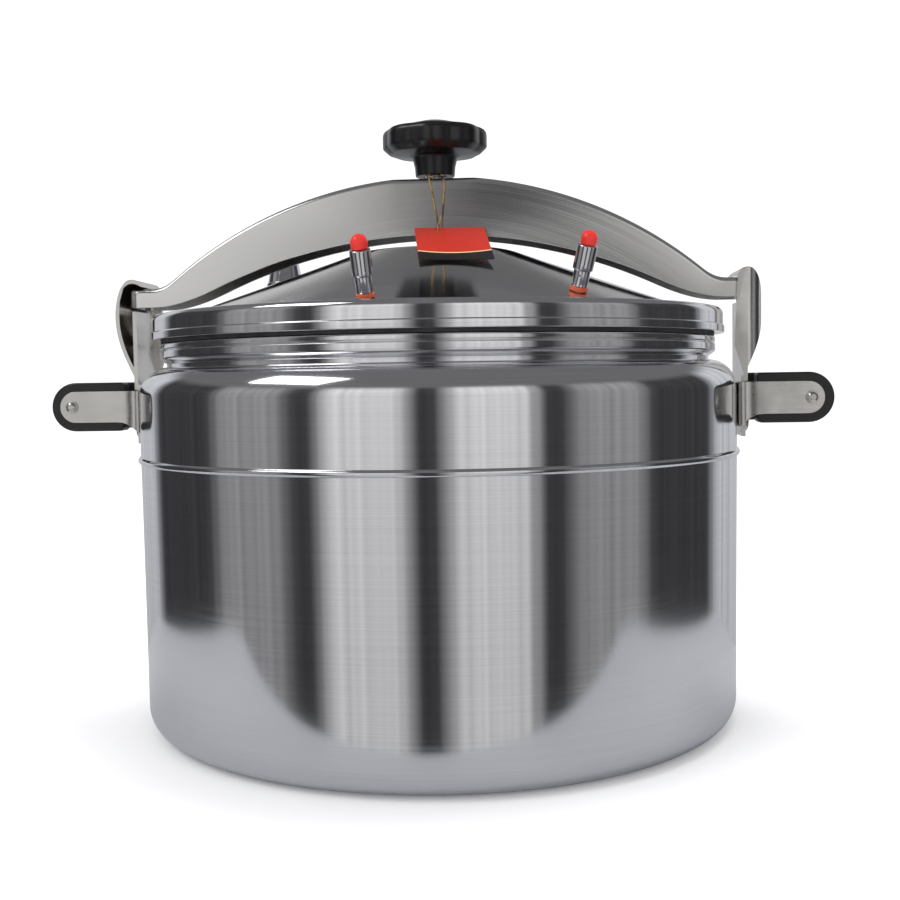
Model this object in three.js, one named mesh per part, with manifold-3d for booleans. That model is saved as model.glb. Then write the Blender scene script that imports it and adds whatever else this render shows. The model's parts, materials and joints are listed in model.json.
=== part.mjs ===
// Pressure canner: a deep aluminium pot whose domed lid is held down by a swinging clamp beam and a
// hand screw. Millimetres, +Z up, +X along the beam, origin at the centre of the pot's flat base.
import * as THREE from 'three';
import { mergeVertices } from 'three/addons/utils/BufferGeometryUtils.js';
import Module from 'manifold-3d';

const wasm = await Module();
wasm.setup();

// ---------------------------------------------------------------- driving dimensions
const GAP = 0.3; // clearance kept between touching pieces
const SIDES = 48; // facets round the pot, the lid and everything fitted to them
const SMALL_SIDES = 16; // facets round valves, screws and rivets

const pot = {
  radius: 220, wall: 4, floor: 5, baseRadius: 219, corner: 18,
  beadZ: 196, beadRadius: 2.4, wallTop: 241, shoulderTop: 262,
  neckRadius: 200, rimRadius: 205, rimBottom: 266, top: 278.4, mouthRadius: 189,
};
const lid = {
  radius: 210.5, stepRadius: 211.4, bottom: 281, step: 286, top: 299, round: 6,
  flankFoot: 185, flankSlope: 0.362, plateauRadius: 56, plateauZ: 345.5, wall: 4.5,
  innerRadius: 183, lipRadius: 186, lipBottom: 273,
};
const gasket = { inner: 188.4, outer: 204.1, bottom: 278.7, top: 284.7 };
const beam = {
  halfWidth: 22, sheet: 3, reach: 231, tipBottom: 307.5, tipTop: 321.5, tipInner: 212,
  topZ: 398, topFlat: 30, topArc: 305, topArcZ: 399.5, topArcEnd: 196,
  lowZ: 357, lowArc: 390, lowArcEnd: 165, corner: 8,
};
const ear = {
  halfWidth: 25.5, sheet: 3, baseInner: 223.3, baseBottom: 206, webOuter: 226.5,
  bulge: 239.5, bulgeZ: 300, bottom: 256, top: 328.4, ledge: 304.5, hoodInner: 219.6, hoodUnder: 322,
  bendY: -4,
};
const strap = { inner: 220.4, sheet: 2.5, bottom: 214, low: 222.5, high: 245.5, end: 277.8, outerY: 41.5 };
const grip = { inner: 231, outer: 285.3, bottom: 216, top: 252, barInner: 254, cheek: 14.7 };
const screw = { radius: 8, spigot: 6, bottom: 349, top: 431, grooveZ: 352.5 };
const knob = { radius: 39, lobes: 8, lobeDepth: 2.2, bottom: 417, top: 436, crown: 443, stemBottom: 402 };
const foot = { radius: 19, bottom: 345.8, top: 357 };
const bush = { radius: 14, bottom: 372 };
const vent = { x: -128.9, y: 66.2, padRadius: 13, padTop: 318, padBottom: 304 };
const reliefValves = [
  { x: -30.3, y: -175.5 },
  { x: 101, y: -132 },
];
const plug = { x: 54.5, y: 124.1 };
const tag = {
  x: 4, topY: -30, topZ: 360, bottomY: -102, bottomZ: 330.2, left: -17, right: 34, thick: 0.8,
  turn: 7.2, roll: 2.9, holeDrop: 5, holeRadius: 2.2,
};
const stringRadius = 0.5;

// ---------------------------------------------------------------- finishes
const finishes = {
  aluminium: { color: 0xc6c8cc, roughness: 0.22, metalness: 1 },
  polished: { color: 0xd4d6da, roughness: 0.1, metalness: 1 },
  stainless: { color: 0xb9b7b3, roughness: 0.28, metalness: 1 },
  chrome: { color: 0xdadadd, roughness: 0.07, metalness: 1 },
  brass: { color: 0xc2a05a, roughness: 0.3, metalness: 1 },
  bakelite: { color: 0x0e0e10, roughness: 0.25, metalness: 0 },
  gasketRubber: { color: 0x26262a, roughness: 0.6, metalness: 0 },
  redPlastic: { color: 0xdd2a20, roughness: 0.35, metalness: 0 },
  orangeSilicone: { color: 0xc4552f, roughness: 0.5, metalness: 0 },
  card: { color: 0xcf3a22, roughness: 0.4, metalness: 0 },
  gold: { color: 0xcaa64e, roughness: 0.4, metalness: 0.6 },
};

// ---------------------------------------------------------------- geometry helpers
const vec = (x, y, z) => new THREE.Vector3(x, y, z);
const pt = (x, y) => new THREE.Vector2(x, y);
const ROOT_UP = vec(0, 0, 1);

// Points of a circular arc in the profile plane, angles in degrees.
function arc(cx, cy, radius, from, to, steps) {
  const list = [];
  for (let i = 0; i <= steps; i++) {
    const a = THREE.MathUtils.degToRad(from + ((to - from) * i) / steps);
    list.push(pt(cx + radius * Math.cos(a), cy + radius * Math.sin(a)));
  }
  return list;
}

// Turns a geometry into a manifold solid: positions only, shared vertices merged, faces outwards.
function solidOf(geometry) {
  const bare = new THREE.BufferGeometry();
  bare.setAttribute('position', geometry.getAttribute('position').clone());
  if (geometry.index) bare.setIndex(geometry.index.clone());
  const merged = mergeVertices(bare, 1e-4);
  const vertProperties = new Float32Array(merged.getAttribute('position').array);
  const triangles = [];
  const corner = (i) => new THREE.Vector3().fromArray(vertProperties, 3 * i);
  let volume = 0;
  for (let i = 0; i < merged.index.count; i += 3) {
    const [a, b, c] = [0, 1, 2].map((k) => merged.index.getX(i + k));
    if (a === b || b === c || c === a) continue;
    volume += corner(a).dot(corner(b).cross(corner(c)));
    triangles.push([a, b, c]);
  }
  if (volume < 0) triangles.forEach((t) => t.reverse());
  const triVerts = new Uint32Array(triangles.flat());
  return new wasm.Manifold(new wasm.Mesh({ numProp: 3, vertProperties, triVerts }));
}

function geometryOf(solid) {
  const mesh = solid.getMesh();
  const geometry = new THREE.BufferGeometry();
  geometry.setAttribute('position', new THREE.BufferAttribute(new Float32Array(mesh.vertProperties), 3));
  geometry.setIndex(new THREE.BufferAttribute(new Uint32Array(mesh.triVerts), 1));
  geometry.computeVertexNormals();
  return geometry;
}

const closed = (geometry) => geometryOf(solidOf(geometry));
const join = (...parts) => geometryOf(parts.map(solidOf).reduce((a, b) => a.add(b)));
const cut = (first, ...tools) => geometryOf(tools.map(solidOf).reduce((a, b) => a.subtract(b), solidOf(first)));
const common = (a, b) => geometryOf(solidOf(a).intersect(solidOf(b)));

// Solid of revolution about Z from a profile of (radius, height) points.
function turned(profile, sides = SMALL_SIDES) {
  return new THREE.LatheGeometry(profile, sides).rotateX(Math.PI / 2);
}

// A ring of rectangular section; it closes on itself.
function ring(inner, outer, bottom, top, sides = SMALL_SIDES) {
  return turned([pt(inner, bottom), pt(outer, bottom), pt(outer, top), pt(inner, top), pt(inner, bottom)], sides);
}

function disc(radius, bottom, top, sides = SMALL_SIDES) {
  return turned([pt(0, bottom), pt(radius, bottom), pt(radius, top), pt(0, top)], sides);
}

function box(x0, x1, y0, y1, z0, z1) {
  const geometry = new THREE.BoxGeometry(x1 - x0, y1 - y0, z1 - z0);
  return geometry.translate((x0 + x1) / 2, (y0 + y1) / 2, (z0 + z1) / 2);
}

function extruded(outline, depth, options = {}) {
  const shape = outline instanceof THREE.Shape ? outline : new THREE.Shape(outline);
  return new THREE.ExtrudeGeometry(shape, { depth, bevelEnabled: false, curveSegments: 8, ...options });
}

// Outline in the XZ plane, extruded from y0 to y1.
function slabXZ(outline, y0, y1) {
  return extruded(outline, y1 - y0).rotateX(Math.PI / 2).translate(0, y1, 0);
}

// Outline in the XY plane, extruded from z0 to z1.
function slabXY(outline, z0, z1) {
  return extruded(outline, z1 - z0).translate(0, 0, z0);
}

// Cylinder from one point to another.
function rod(radius, from, to, sides = SMALL_SIDES) {
  const along = to.clone().sub(from);
  const turn = new THREE.Quaternion().setFromUnitVectors(vec(0, 1, 0), along.clone().normalize());
  const middle = from.clone().add(to).multiplyScalar(0.5);
  const geometry = new THREE.CylinderGeometry(radius, radius, along.length(), sides);
  return geometry.applyQuaternion(turn).translate(middle.x, middle.y, middle.z);
}

// Round wire along a list of points.
function wire(points, radius, sides, steps) {
  const section = new THREE.Shape(arc(0, 0, radius, 0, 360, sides).slice(0, sides));
  const extrudePath = new THREE.CatmullRomCurve3(points);
  return new THREE.ExtrudeGeometry(section, { steps, bevelEnabled: false, extrudePath });
}

function hexagon(acrossCorners, bottom, top) {
  return new THREE.CylinderGeometry(acrossCorners / 2, acrossCorners / 2, top - bottom, 6)
    .rotateX(Math.PI / 2)
    .translate(0, 0, (top + bottom) / 2);
}

const canner = new THREE.Group();

function addPiece(parent, name, geometry, finish) {
  const mesh = new THREE.Mesh(closed(geometry), new THREE.MeshStandardMaterial(finishes[finish]));
  mesh.name = name;
  parent.add(mesh);
  return mesh;
}

// ---------------------------------------------------------------- places on the lid
const flankZ = (radius) => lid.top + (lid.flankFoot - radius) * lid.flankSlope;
const flankTilt = Math.atan(lid.flankSlope);

// A group standing on the lid's sloping flank, its own +Z along the flank's outward normal.
function flankGroup({ x, y }) {
  const group = new THREE.Group();
  group.position.set(x, y, flankZ(Math.hypot(x, y)));
  const aroundZ = new THREE.Quaternion().setFromAxisAngle(ROOT_UP, Math.atan2(y, x));
  const tilt = new THREE.Quaternion().setFromAxisAngle(vec(0, 1, 0), flankTilt);
  group.quaternion.copy(aroundZ.multiply(tilt));
  group.updateMatrix();
  return group;
}

// Hole through the lid on a flank group's axis.
function flankHole(place, radius) {
  const reach = 12;
  return rod(radius, vec(0, 0, -reach), vec(0, 0, reach)).applyMatrix4(flankGroup(place).matrix);
}

// ---------------------------------------------------------------- fasteners through the pot side
const rivet = { shank: 3.5, head: 6.5, headHeight: 2.6, angle: 4.1, low: 216, high: 233 };

// The four rivets of one side: turned about Z by the side's angle, two heights by two columns.
function rivetPlaces(side) {
  const places = [];
  for (const z of [rivet.low, rivet.high]) {
    for (const column of [-1, 1]) {
      places.push({ z, angle: side.angle + THREE.MathUtils.degToRad(column * rivet.angle) });
    }
  }
  return places;
}

function radialRod(place, radius, from, to) {
  return rod(radius, vec(from, 0, place.z), vec(to, 0, place.z)).rotateZ(place.angle);
}

function rivetHoles(side) {
  const clearance = rivet.shank + GAP;
  return rivetPlaces(side).map((place) => radialRod(place, clearance, pot.radius - 20, pot.radius + 12));
}

const sides = [
  { name: 'left', angle: Math.PI },
  { name: 'right', angle: 0 },
];

// ---------------------------------------------------------------- pot
function potProfile() {
  const { radius, wall, floor, baseRadius, corner, beadZ, beadRadius } = pot;
  const inner = radius - wall;
  const innerCorner = corner - wall;
  const shoulder = radius - pot.neckRadius;
  const shoulderRise = pot.shoulderTop - pot.wallTop;
  const shoulderPoint = (offset, degrees) => {
    const a = THREE.MathUtils.degToRad(degrees);
    const across = shoulder * Math.cos(a);
    return pt(pot.neckRadius + across - offset, pot.wallTop + shoulderRise * Math.sin(a) - offset * Math.sin(a));
  };
  const outerShoulder = [0, 22, 45, 68, 90].map((degrees) => shoulderPoint(0, degrees));
  const innerShoulder = [90, 45, 0].map((degrees) => shoulderPoint(wall, degrees));
  return [
    pt(0, 0),
    ...arc(baseRadius - corner, corner, corner, -90, 0, 4),
    ...arc(radius - 0.4, beadZ, beadRadius, -80, 80, 3),
    ...outerShoulder,
    pt(pot.neckRadius, pot.rimBottom - 2),
    pt(pot.rimRadius - 1.5, pot.rimBottom),
    pt(pot.rimRadius, pot.rimBottom + 2),
    pt(pot.rimRadius, pot.top - 2),
    pt(pot.rimRadius - 2, pot.top),
    pt(pot.mouthRadius + 1, pot.top),
    pt(pot.mouthRadius, pot.top - 1),
    pt(pot.mouthRadius, pot.rimBottom + 2),
    ...innerShoulder,
    ...arc(inner - innerCorner - 1, floor + innerCorner, innerCorner, 0, -90, 3),
    pt(0, floor),
  ];
}

function makePot(parent) {
  const holes = sides.flatMap(rivetHoles);
  addPiece(parent, 'pot_shell', cut(turned(potProfile(), SIDES), ...holes), 'aluminium');
}

// ---------------------------------------------------------------- ears that hold the beam's ends
// Outer form of the right ear in the XZ plane: web, outward bulge and arched hood.
function earForm() {
  const shape = new THREE.Shape();
  const inward = ear.webOuter - ear.sheet;
  shape.moveTo(inward, 246);
  shape.lineTo(ear.webOuter, 246);
  shape.lineTo(ear.webOuter, ear.bottom);
  shape.bezierCurveTo(232, 268, ear.bulge, 282, ear.bulge, ear.bulgeZ);
  shape.bezierCurveTo(ear.bulge, 316, 234, ear.top, 227, ear.top);
  shape.quadraticCurveTo(ear.hoodInner + 1, ear.top, ear.hoodInner, ear.hoodUnder);
  shape.lineTo(217, 272);
  shape.lineTo(inward, 252);
  return shape;
}

// Hollow behind the web, inside the bulge, open to the seat of the beam's end.
function bulgeHollow() {
  const shape = new THREE.Shape();
  const inside = ear.bulge - ear.sheet;
  shape.moveTo(ear.webOuter, ear.ledge + 1);
  shape.lineTo(ear.webOuter, 263);
  shape.bezierCurveTo(231, 272, inside, 285, inside, ear.bulgeZ);
  shape.lineTo(inside, ear.ledge + 1);
  return shape;
}

// Seat of the beam's end, arched under the hood, open towards the lid and on one side.
function seatHollow() {
  const inside = ear.bulge - ear.sheet;
  const shape = new THREE.Shape();
  shape.moveTo(215, ear.ledge);
  shape.lineTo(inside, ear.ledge);
  shape.lineTo(inside - 0.6, 312);
  shape.lineTo(inside - 3.6, ear.hoodUnder);
  shape.quadraticCurveTo(227, 328.6, 218, ear.hoodUnder - 0.2);
  shape.lineTo(215, ear.hoodUnder - 0.2);
  return shape;
}

// Plan of the right ear: its closed side bends round into the bulge. The inset gives the inner face.
function earPlan(inset) {
  const across = ear.bulge - ear.webOuter - inset;
  const along = ear.halfWidth + ear.bendY - inset;
  const open = ear.halfWidth + 1;
  const steps = 8;
  const bend = [];
  for (let i = 0; i <= steps; i++) {
    const a = (Math.PI / 2) * (i / steps);
    bend.push(pt(ear.webOuter + across * Math.sin(a), ear.bendY - along * Math.cos(a)));
  }
  return [pt(200, inset - ear.halfWidth), ...bend, pt(ear.bulge - inset, open), pt(200, open)];
}

function earGeometry() {
  const wallFace = -ear.halfWidth + ear.sheet;
  const open = ear.halfWidth + 1;
  const foot = common(
    ring(ear.baseInner, ear.baseInner + ear.sheet, ear.baseBottom, 250, SIDES),
    box(200, 240, -ear.halfWidth, ear.halfWidth, 200, 260),
  );
  const hollow = join(slabXZ(bulgeHollow(), wallFace, open), slabXZ(seatHollow(), wallFace, open));
  const upper = cut(
    common(slabXZ(earForm(), -ear.halfWidth, ear.halfWidth), slabXY(earPlan(0), 200, 340)),
    common(hollow, slabXY(earPlan(ear.sheet), 200, 340)),
    box(215, ear.webOuter - ear.sheet, wallFace, open, 240, ear.ledge + 1),
  );
  return join(foot, upper);
}

function makeEars(parent) {
  const rightEar = cut(earGeometry(), ...rivetHoles(sides[1]));
  for (const side of sides) {
    addPiece(parent, `ear_${side.name}`, rightEar.clone().rotateZ(side.angle), 'stainless');
  }
}

function rivetGeometry() {
  const inside = pot.radius - pot.wall - 0.7;
  const outside = ear.baseInner + ear.sheet + 0.4;
  const { shank, head, headHeight } = rivet;
  return turned([
    pt(0, inside - headHeight),
    pt(head * 0.7, inside - headHeight * 0.75),
    pt(head, inside),
    pt(shank, inside),
    pt(shank, outside),
    pt(head, outside),
    pt(head * 0.7, outside + headHeight * 0.75),
    pt(0, outside + headHeight),
  ], 12).rotateY(Math.PI / 2);
}

function makeRivets(parent) {
  for (const side of sides) {
    rivetPlaces(side).forEach((place, i) => {
      const geometry = rivetGeometry().translate(0, 0, place.z).rotateZ(place.angle);
      addPiece(parent, `ear_rivet_${side.name}_${i + 1}`, geometry, 'stainless');
    });
  }
}

// ---------------------------------------------------------------- carrying handles
const screwSpot = { x: 268.8, z: 234, head: 4.6 };

function armOutline() {
  const middle = (strap.low + strap.high) / 2;
  const radius = (strap.high - strap.low) / 2;
  const shape = new THREE.Shape();
  shape.moveTo(217.6, strap.bottom);
  shape.lineTo(220, strap.bottom);
  shape.quadraticCurveTo(223, strap.low, 234, strap.low);
  shape.lineTo(strap.end - radius, strap.low);
  shape.absarc(strap.end - radius, middle, radius, -Math.PI / 2, Math.PI / 2);
  shape.lineTo(217.6, strap.high);
  return shape;
}

function strapGeometry() {
  const { inner, sheet, outerY } = strap;
  const base = common(
    ring(inner, inner + sheet, strap.bottom, strap.high, SIDES),
    box(200, 240, -outerY, outerY, 200, 260),
  );
  const arms = [slabXZ(armOutline(), outerY - sheet, outerY), slabXZ(armOutline(), -outerY, sheet - outerY)];
  const screwHole = rod(2.9, vec(screwSpot.x, -50, screwSpot.z), vec(screwSpot.x, 50, screwSpot.z));
  return cut(join(base, ...arms), screwHole, ...rivetHoles(sides[1]));
}

function gripGeometry() {
  const half = strap.outerY - strap.sheet - GAP;
  const finger = half - grip.cheek;
  const middle = (grip.top + grip.bottom) / 2;
  const radius = (grip.top - grip.bottom) / 2;
  const side = new THREE.Shape();
  side.moveTo(grip.inner + 4, grip.bottom);
  side.lineTo(grip.outer - radius, grip.bottom);
  side.absarc(grip.outer - radius, middle, radius, -Math.PI / 2, Math.PI / 2);
  side.lineTo(grip.inner, grip.top);
  side.lineTo(grip.inner, grip.bottom + 4);
  const fingerGap = [
    pt(grip.inner - 5, -finger),
    pt(grip.barInner - 8, -finger),
    pt(grip.barInner, -finger + 8),
    pt(grip.barInner, finger - 8),
    pt(grip.barInner - 8, finger),
    pt(grip.inner - 5, finger),
  ];
  const pilot = (from, to) => rod(2.9, vec(screwSpot.x, from, screwSpot.z), vec(screwSpot.x, to, screwSpot.z));
  return cut(
    slabXZ(side, -half, half),
    slabXY(fingerGap, grip.bottom - 1, grip.top + 1),
    pilot(half - 12, half + 1),
    pilot(-half - 1, 12 - half),
  );
}

function handleScrewGeometry() {
  const seat = strap.outerY + GAP;
  return turned([
    pt(0, seat - 13),
    pt(2.5, seat - 13),
    pt(2.5, seat),
    pt(screwSpot.head, seat),
    pt(screwSpot.head - 1, seat + 2),
    pt(0, seat + 3),
  ], 14).rotateX(-Math.PI / 2).translate(screwSpot.x, 0, screwSpot.z);
}

function makeHandles(parent) {
  const rightStrap = strapGeometry();
  const rightGrip = gripGeometry();
  for (const side of sides) {
    addPiece(parent, `handle_strap_${side.name}`, rightStrap.clone().rotateZ(side.angle), 'stainless');
    addPiece(parent, `handle_grip_${side.name}`, rightGrip.clone().rotateZ(side.angle), 'bakelite');
    for (const end of ['front', 'back']) {
      const facing = end === 'front' ? Math.PI : 0;
      const screwOnce = handleScrewGeometry().translate(-screwSpot.x, 0, 0).rotateZ(facing);
      const across = side.name === 'right' ? screwSpot.x : -screwSpot.x;
      addPiece(parent, `handle_screw_${side.name}_${end}`, screwOnce.translate(across, 0, 0), 'stainless');
    }
  }
}

// ---------------------------------------------------------------- lid
function lidProfile() {
  const { radius, stepRadius, bottom, step, top, round, wall, innerRadius, lipRadius, lipBottom } = lid;
  const groove = { inner: gasket.inner - 0.4, outer: gasket.outer + 0.4, top: gasket.top + GAP };
  const slopeEnd = 65;
  const under = lid.plateauZ - wall;
  return [
    pt(0, lid.plateauZ),
    pt(lid.plateauRadius - 4, lid.plateauZ),
    pt(lid.plateauRadius + 2, lid.plateauZ - 0.8),
    pt(slopeEnd, flankZ(slopeEnd)),
    pt(lid.flankFoot, top),
    ...arc(radius - round, top - round, round, 90, 0, 3),
    pt(radius, step),
    pt(stepRadius, step),
    pt(stepRadius, bottom + 0.6),
    pt(stepRadius - 0.6, bottom),
    pt(groove.outer, bottom),
    pt(groove.outer, groove.top),
    pt(groove.inner, groove.top),
    pt(groove.inner, bottom),
    pt(lipRadius, bottom),
    pt(lipRadius, lipBottom + 1),
    pt(lipRadius - 1, lipBottom),
    pt(innerRadius, lipBottom),
    pt(innerRadius, flankZ(innerRadius) - wall - 1.5),
    pt(slopeEnd - 2, flankZ(slopeEnd) - wall),
    pt(lid.plateauRadius - 4, under),
    pt(0, under),
  ];
}

function makeLid(parent) {
  const boss = rod(vent.padRadius, vec(vent.x, vent.y, vent.padBottom), vec(vent.x, vent.y, vent.padTop), 32);
  const ventHole = rod(4.4, vec(vent.x, vent.y, 295), vec(vent.x, vent.y, 325));
  const holes = [...reliefValves.map((place) => flankHole(place, 4.4)), flankHole(plug, 5.4), ventHole];
  addPiece(parent, 'lid_shell', cut(join(turned(lidProfile(), SIDES), boss), ...holes), 'polished');
  addPiece(parent, 'lid_gasket', ring(gasket.inner, gasket.outer, gasket.bottom, gasket.top, SIDES), 'gasketRubber');
}

// ---------------------------------------------------------------- spring relief valves with red caps
// Heights are along the valve's own axis, from the lid's outer face.
const relief = {
  sealRadius: 5.8, sealTop: 3.2, bodyRadius: 5.4, bodyTop: 14, neckRadius: 4.2, neckTop: 17.2,
  sleeveRadius: 6.6, sleeveTop: 30.4, sleeveRoof: 2, discBottom: 17.5, discTop: 19.5, rodRadius: 1.9,
  capRadius: 5.4, capMiddle: 34.3, spigotBottom: -14,
};

function reliefBody() {
  const r = relief;
  const outline = turned([
    pt(1.6, r.spigotBottom), pt(4, r.spigotBottom), pt(4, r.sealTop + GAP), pt(r.bodyRadius, r.sealTop + GAP),
    pt(r.bodyRadius, r.bodyTop), pt(r.neckRadius, r.bodyTop), pt(r.neckRadius, r.neckTop),
    pt(1.6, r.neckTop), pt(1.6, r.spigotBottom),
  ]);
  const reach = r.bodyRadius + 1;
  const ventHole = rod(0.9, vec(2.6, 0, r.bodyTop - 3), vec(reach, 0, r.bodyTop - 3), 8);
  return cut(outline, ventHole.rotateZ(-Math.PI / 4), ventHole.clone().rotateZ(Math.PI * 0.75));
}

function reliefSleeve() {
  const r = relief;
  const inner = r.neckRadius + GAP;
  const bottom = r.bodyTop + GAP;
  return turned([
    pt(inner, bottom), pt(r.sleeveRadius, bottom), pt(r.sleeveRadius, r.sleeveTop - 1),
    pt(r.sleeveRadius - 1, r.sleeveTop), pt(r.rodRadius + GAP, r.sleeveTop),
    pt(r.rodRadius + GAP, r.sleeveTop - r.sleeveRoof), pt(inner, r.sleeveTop - r.sleeveRoof), pt(inner, bottom),
  ]);
}

function reliefPlunger() {
  const r = relief;
  return turned([
    pt(0, r.discBottom), pt(4, r.discBottom), pt(4, r.discTop), pt(r.rodRadius, r.discTop),
    pt(r.rodRadius, r.sleeveTop + 3), pt(0, r.sleeveTop + 3),
  ]);
}

function reliefCap() {
  const r = relief;
  const bottom = r.sleeveTop + GAP;
  return turned([
    pt(r.rodRadius + GAP, bottom), pt(r.capRadius - 0.8, bottom), pt(r.capRadius, bottom + 1),
    ...arc(0, r.capMiddle, r.capRadius, 0, 90, 5).slice(0, 5), pt(0, r.capMiddle + r.capRadius),
    pt(0, bottom + 3.4), pt(r.rodRadius + GAP, bottom + 3.4), pt(r.rodRadius + GAP, bottom),
  ]);
}

function reliefSpring() {
  const r = relief;
  const turns = 5;
  const wireRadius = 0.4;
  const bottom = r.discTop + GAP + wireRadius;
  const top = r.sleeveTop - r.sleeveRoof - GAP - wireRadius;
  const points = [];
  const perTurn = 8;
  for (let i = 0; i <= turns * perTurn; i++) {
    const a = (2 * Math.PI * i) / perTurn;
    points.push(vec(3.3 * Math.cos(a), 3.3 * Math.sin(a), bottom + ((top - bottom) * i) / (turns * perTurn)));
  }
  return wire(points, wireRadius, 5, turns * perTurn);
}

function flankNut(holeRadius, acrossCorners) {
  const top = -lid.wall - 1.4;
  return cut(hexagon(acrossCorners, top - 4.5, top), disc(holeRadius, top - 6, top + 1));
}

function makeReliefValves(parent) {
  reliefValves.forEach((place, i) => {
    const valve = flankGroup(place);
    const name = (piece) => `relief_valve_${i + 1}_${piece}`;
    addPiece(valve, name('seal'), ring(4.3, relief.sealRadius, GAP, relief.sealTop), 'orangeSilicone');
    addPiece(valve, name('body'), reliefBody(), 'chrome');
    addPiece(valve, name('sleeve'), reliefSleeve(), 'chrome');
    addPiece(valve, name('plunger'), reliefPlunger(), 'brass');
    addPiece(valve, name('spring'), reliefSpring(), 'stainless');
    addPiece(valve, name('cap'), reliefCap(), 'redPlastic');
    addPiece(valve, name('nut'), flankNut(4.3, 12), 'brass');
    parent.add(valve);
  });
}

// ---------------------------------------------------------------- fusible safety plug
function makeSafetyPlug(parent) {
  const group = flankGroup(plug);
  const bottom = 1.8 + GAP;
  const body = join(
    hexagon(19, bottom, bottom + 6),
    disc(6.2, bottom + 5, bottom + 11),
    disc(5, -13, bottom + 1),
  );
  addPiece(group, 'safety_plug_washer', ring(5.4, 9.4, GAP, 1.8), 'orangeSilicone');
  addPiece(group, 'safety_plug', cut(body, disc(2, -14, bottom + 8)), 'brass');
  addPiece(group, 'safety_plug_nut', flankNut(5.3, 18), 'brass');
  parent.add(group);
}

// ---------------------------------------------------------------- vent pipe and its dead weight
const nozzle = { washerTop: 319.8, flangeTop: 326, top: 346, radius: 3.2, bottom: 292 };

function makeVent(parent) {
  const group = new THREE.Group();
  group.position.set(vent.x, vent.y, 0);
  const washerBottom = vent.padTop + GAP;
  const pipeBottom = nozzle.washerTop + GAP;
  const pipe = join(
    hexagon(17, pipeBottom, nozzle.flangeTop),
    disc(4, nozzle.bottom, pipeBottom + 1),
    disc(nozzle.radius, nozzle.flangeTop - 1, nozzle.top),
  );
  const nutTop = vent.padBottom - GAP;
  const nut = cut(hexagon(15, nutTop - 4, nutTop), disc(4.3, nutTop - 6, nutTop + 1));
  addPiece(group, 'vent_washer', ring(4.4, 9, washerBottom, nozzle.washerTop), 'orangeSilicone');
  addPiece(group, 'vent_pipe', cut(pipe, disc(1.5, nozzle.bottom - 1, nozzle.top + 1)), 'brass');
  addPiece(group, 'vent_nut', nut, 'brass');
  addPiece(group, 'vent_guard', ventGuard(nutTop - 4 - GAP), 'stainless');
  addPiece(group, 'vent_weight', ventWeight(), 'chrome');
  parent.add(group);
}

// Perforated cup screwed on the pipe's lower end, so that food can't block the vent.
function ventGuard(top) {
  const bottom = 283;
  const cup = turned([
    pt(0, bottom), pt(9, bottom), pt(11, bottom + 2), pt(11, top), pt(4.3, top),
    pt(4.3, top - 1.5), pt(9.5, top - 1.5), pt(9.5, bottom + 2.4), pt(8.4, bottom + 1.5), pt(0, bottom + 1.5),
  ]);
  const holes = [];
  for (let i = 0; i < 6; i++) {
    const hole = rod(2, vec(6, 0, bottom + 7), vec(13, 0, bottom + 7), 8);
    holes.push(hole.rotateZ(((i + 0.5) * Math.PI) / 3));
  }
  return cut(cup, ...holes);
}

function ventWeight() {
  const bottom = 327.5;
  const boreTop = nozzle.top + GAP;
  return turned([
    pt(nozzle.radius + 0.4, boreTop), pt(nozzle.radius + 0.4, bottom + 8), pt(10, bottom + 8),
    pt(12.4, bottom), pt(15, bottom), pt(15.2, bottom + 1.4), pt(14.2, bottom + 3), pt(9.7, bottom + 26.5),
    pt(8.6, bottom + 28.4), pt(5, bottom + 30), pt(0, bottom + 30.5), pt(0, boreTop),
    pt(nozzle.radius + 0.4, boreTop),
  ], 24);
}

// ---------------------------------------------------------------- clamp beam
// Right half of an edge of the beam: points from the centre line out to the tip.
function topEdge(drop) {
  const arcZ = (x) => beam.topArcZ - beam.topArc + Math.sqrt(beam.topArc ** 2 - x ** 2);
  const points = [pt(beam.topFlat, beam.topZ - drop)];
  const steps = 9;
  for (let i = 1; i <= steps; i++) {
    const x = beam.topFlat + ((beam.topArcEnd - beam.topFlat) * i) / steps;
    points.push(pt(x - drop * 0.5 * (x / beam.topArcEnd), arcZ(x) - drop));
  }
  const last = points[points.length - 1];
  const bend = new THREE.QuadraticBezierCurve(last, pt(204, beam.tipTop - drop), pt(beam.tipInner, beam.tipTop - drop));
  return [...points, ...bend.getPoints(4).slice(1)];
}

function lowEdge() {
  const arcZ = (x) => beam.lowZ - beam.lowArc + Math.sqrt(beam.lowArc ** 2 - x ** 2);
  const points = [];
  const steps = 8;
  for (let i = 1; i <= steps; i++) {
    const x = (beam.lowArcEnd * i) / steps;
    points.push(pt(x, arcZ(x)));
  }
  const bend = new THREE.QuadraticBezierCurve(
    points[points.length - 1], pt(192.6, beam.tipBottom), pt(beam.tipInner, beam.tipBottom));
  return [...points, ...bend.getPoints(5).slice(1)];
}

const mirrored = (points) => points.map((p) => pt(-p.x, p.y)).reverse();

function beamOutline() {
  const top = topEdge(0);
  const low = lowEdge();
  const right = [...top, pt(beam.reach, beam.tipTop), pt(beam.reach, beam.tipBottom), ...low.slice().reverse()];
  return [...mirrored(right), ...right].filter((p, i, all) => i === 0 || p.distanceTo(all[i - 1]) > 1e-6);
}

// The channel under the beam: the outline's top edge lowered by the sheet, open underneath.
function beamChannel() {
  const top = topEdge(beam.sheet);
  const end = beam.reach - beam.sheet;
  const floorZ = beam.tipBottom - 5;
  const right = [...top, pt(end, beam.tipTop - beam.sheet), pt(end, floorZ)];
  return [...mirrored(right), ...right];
}

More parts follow.
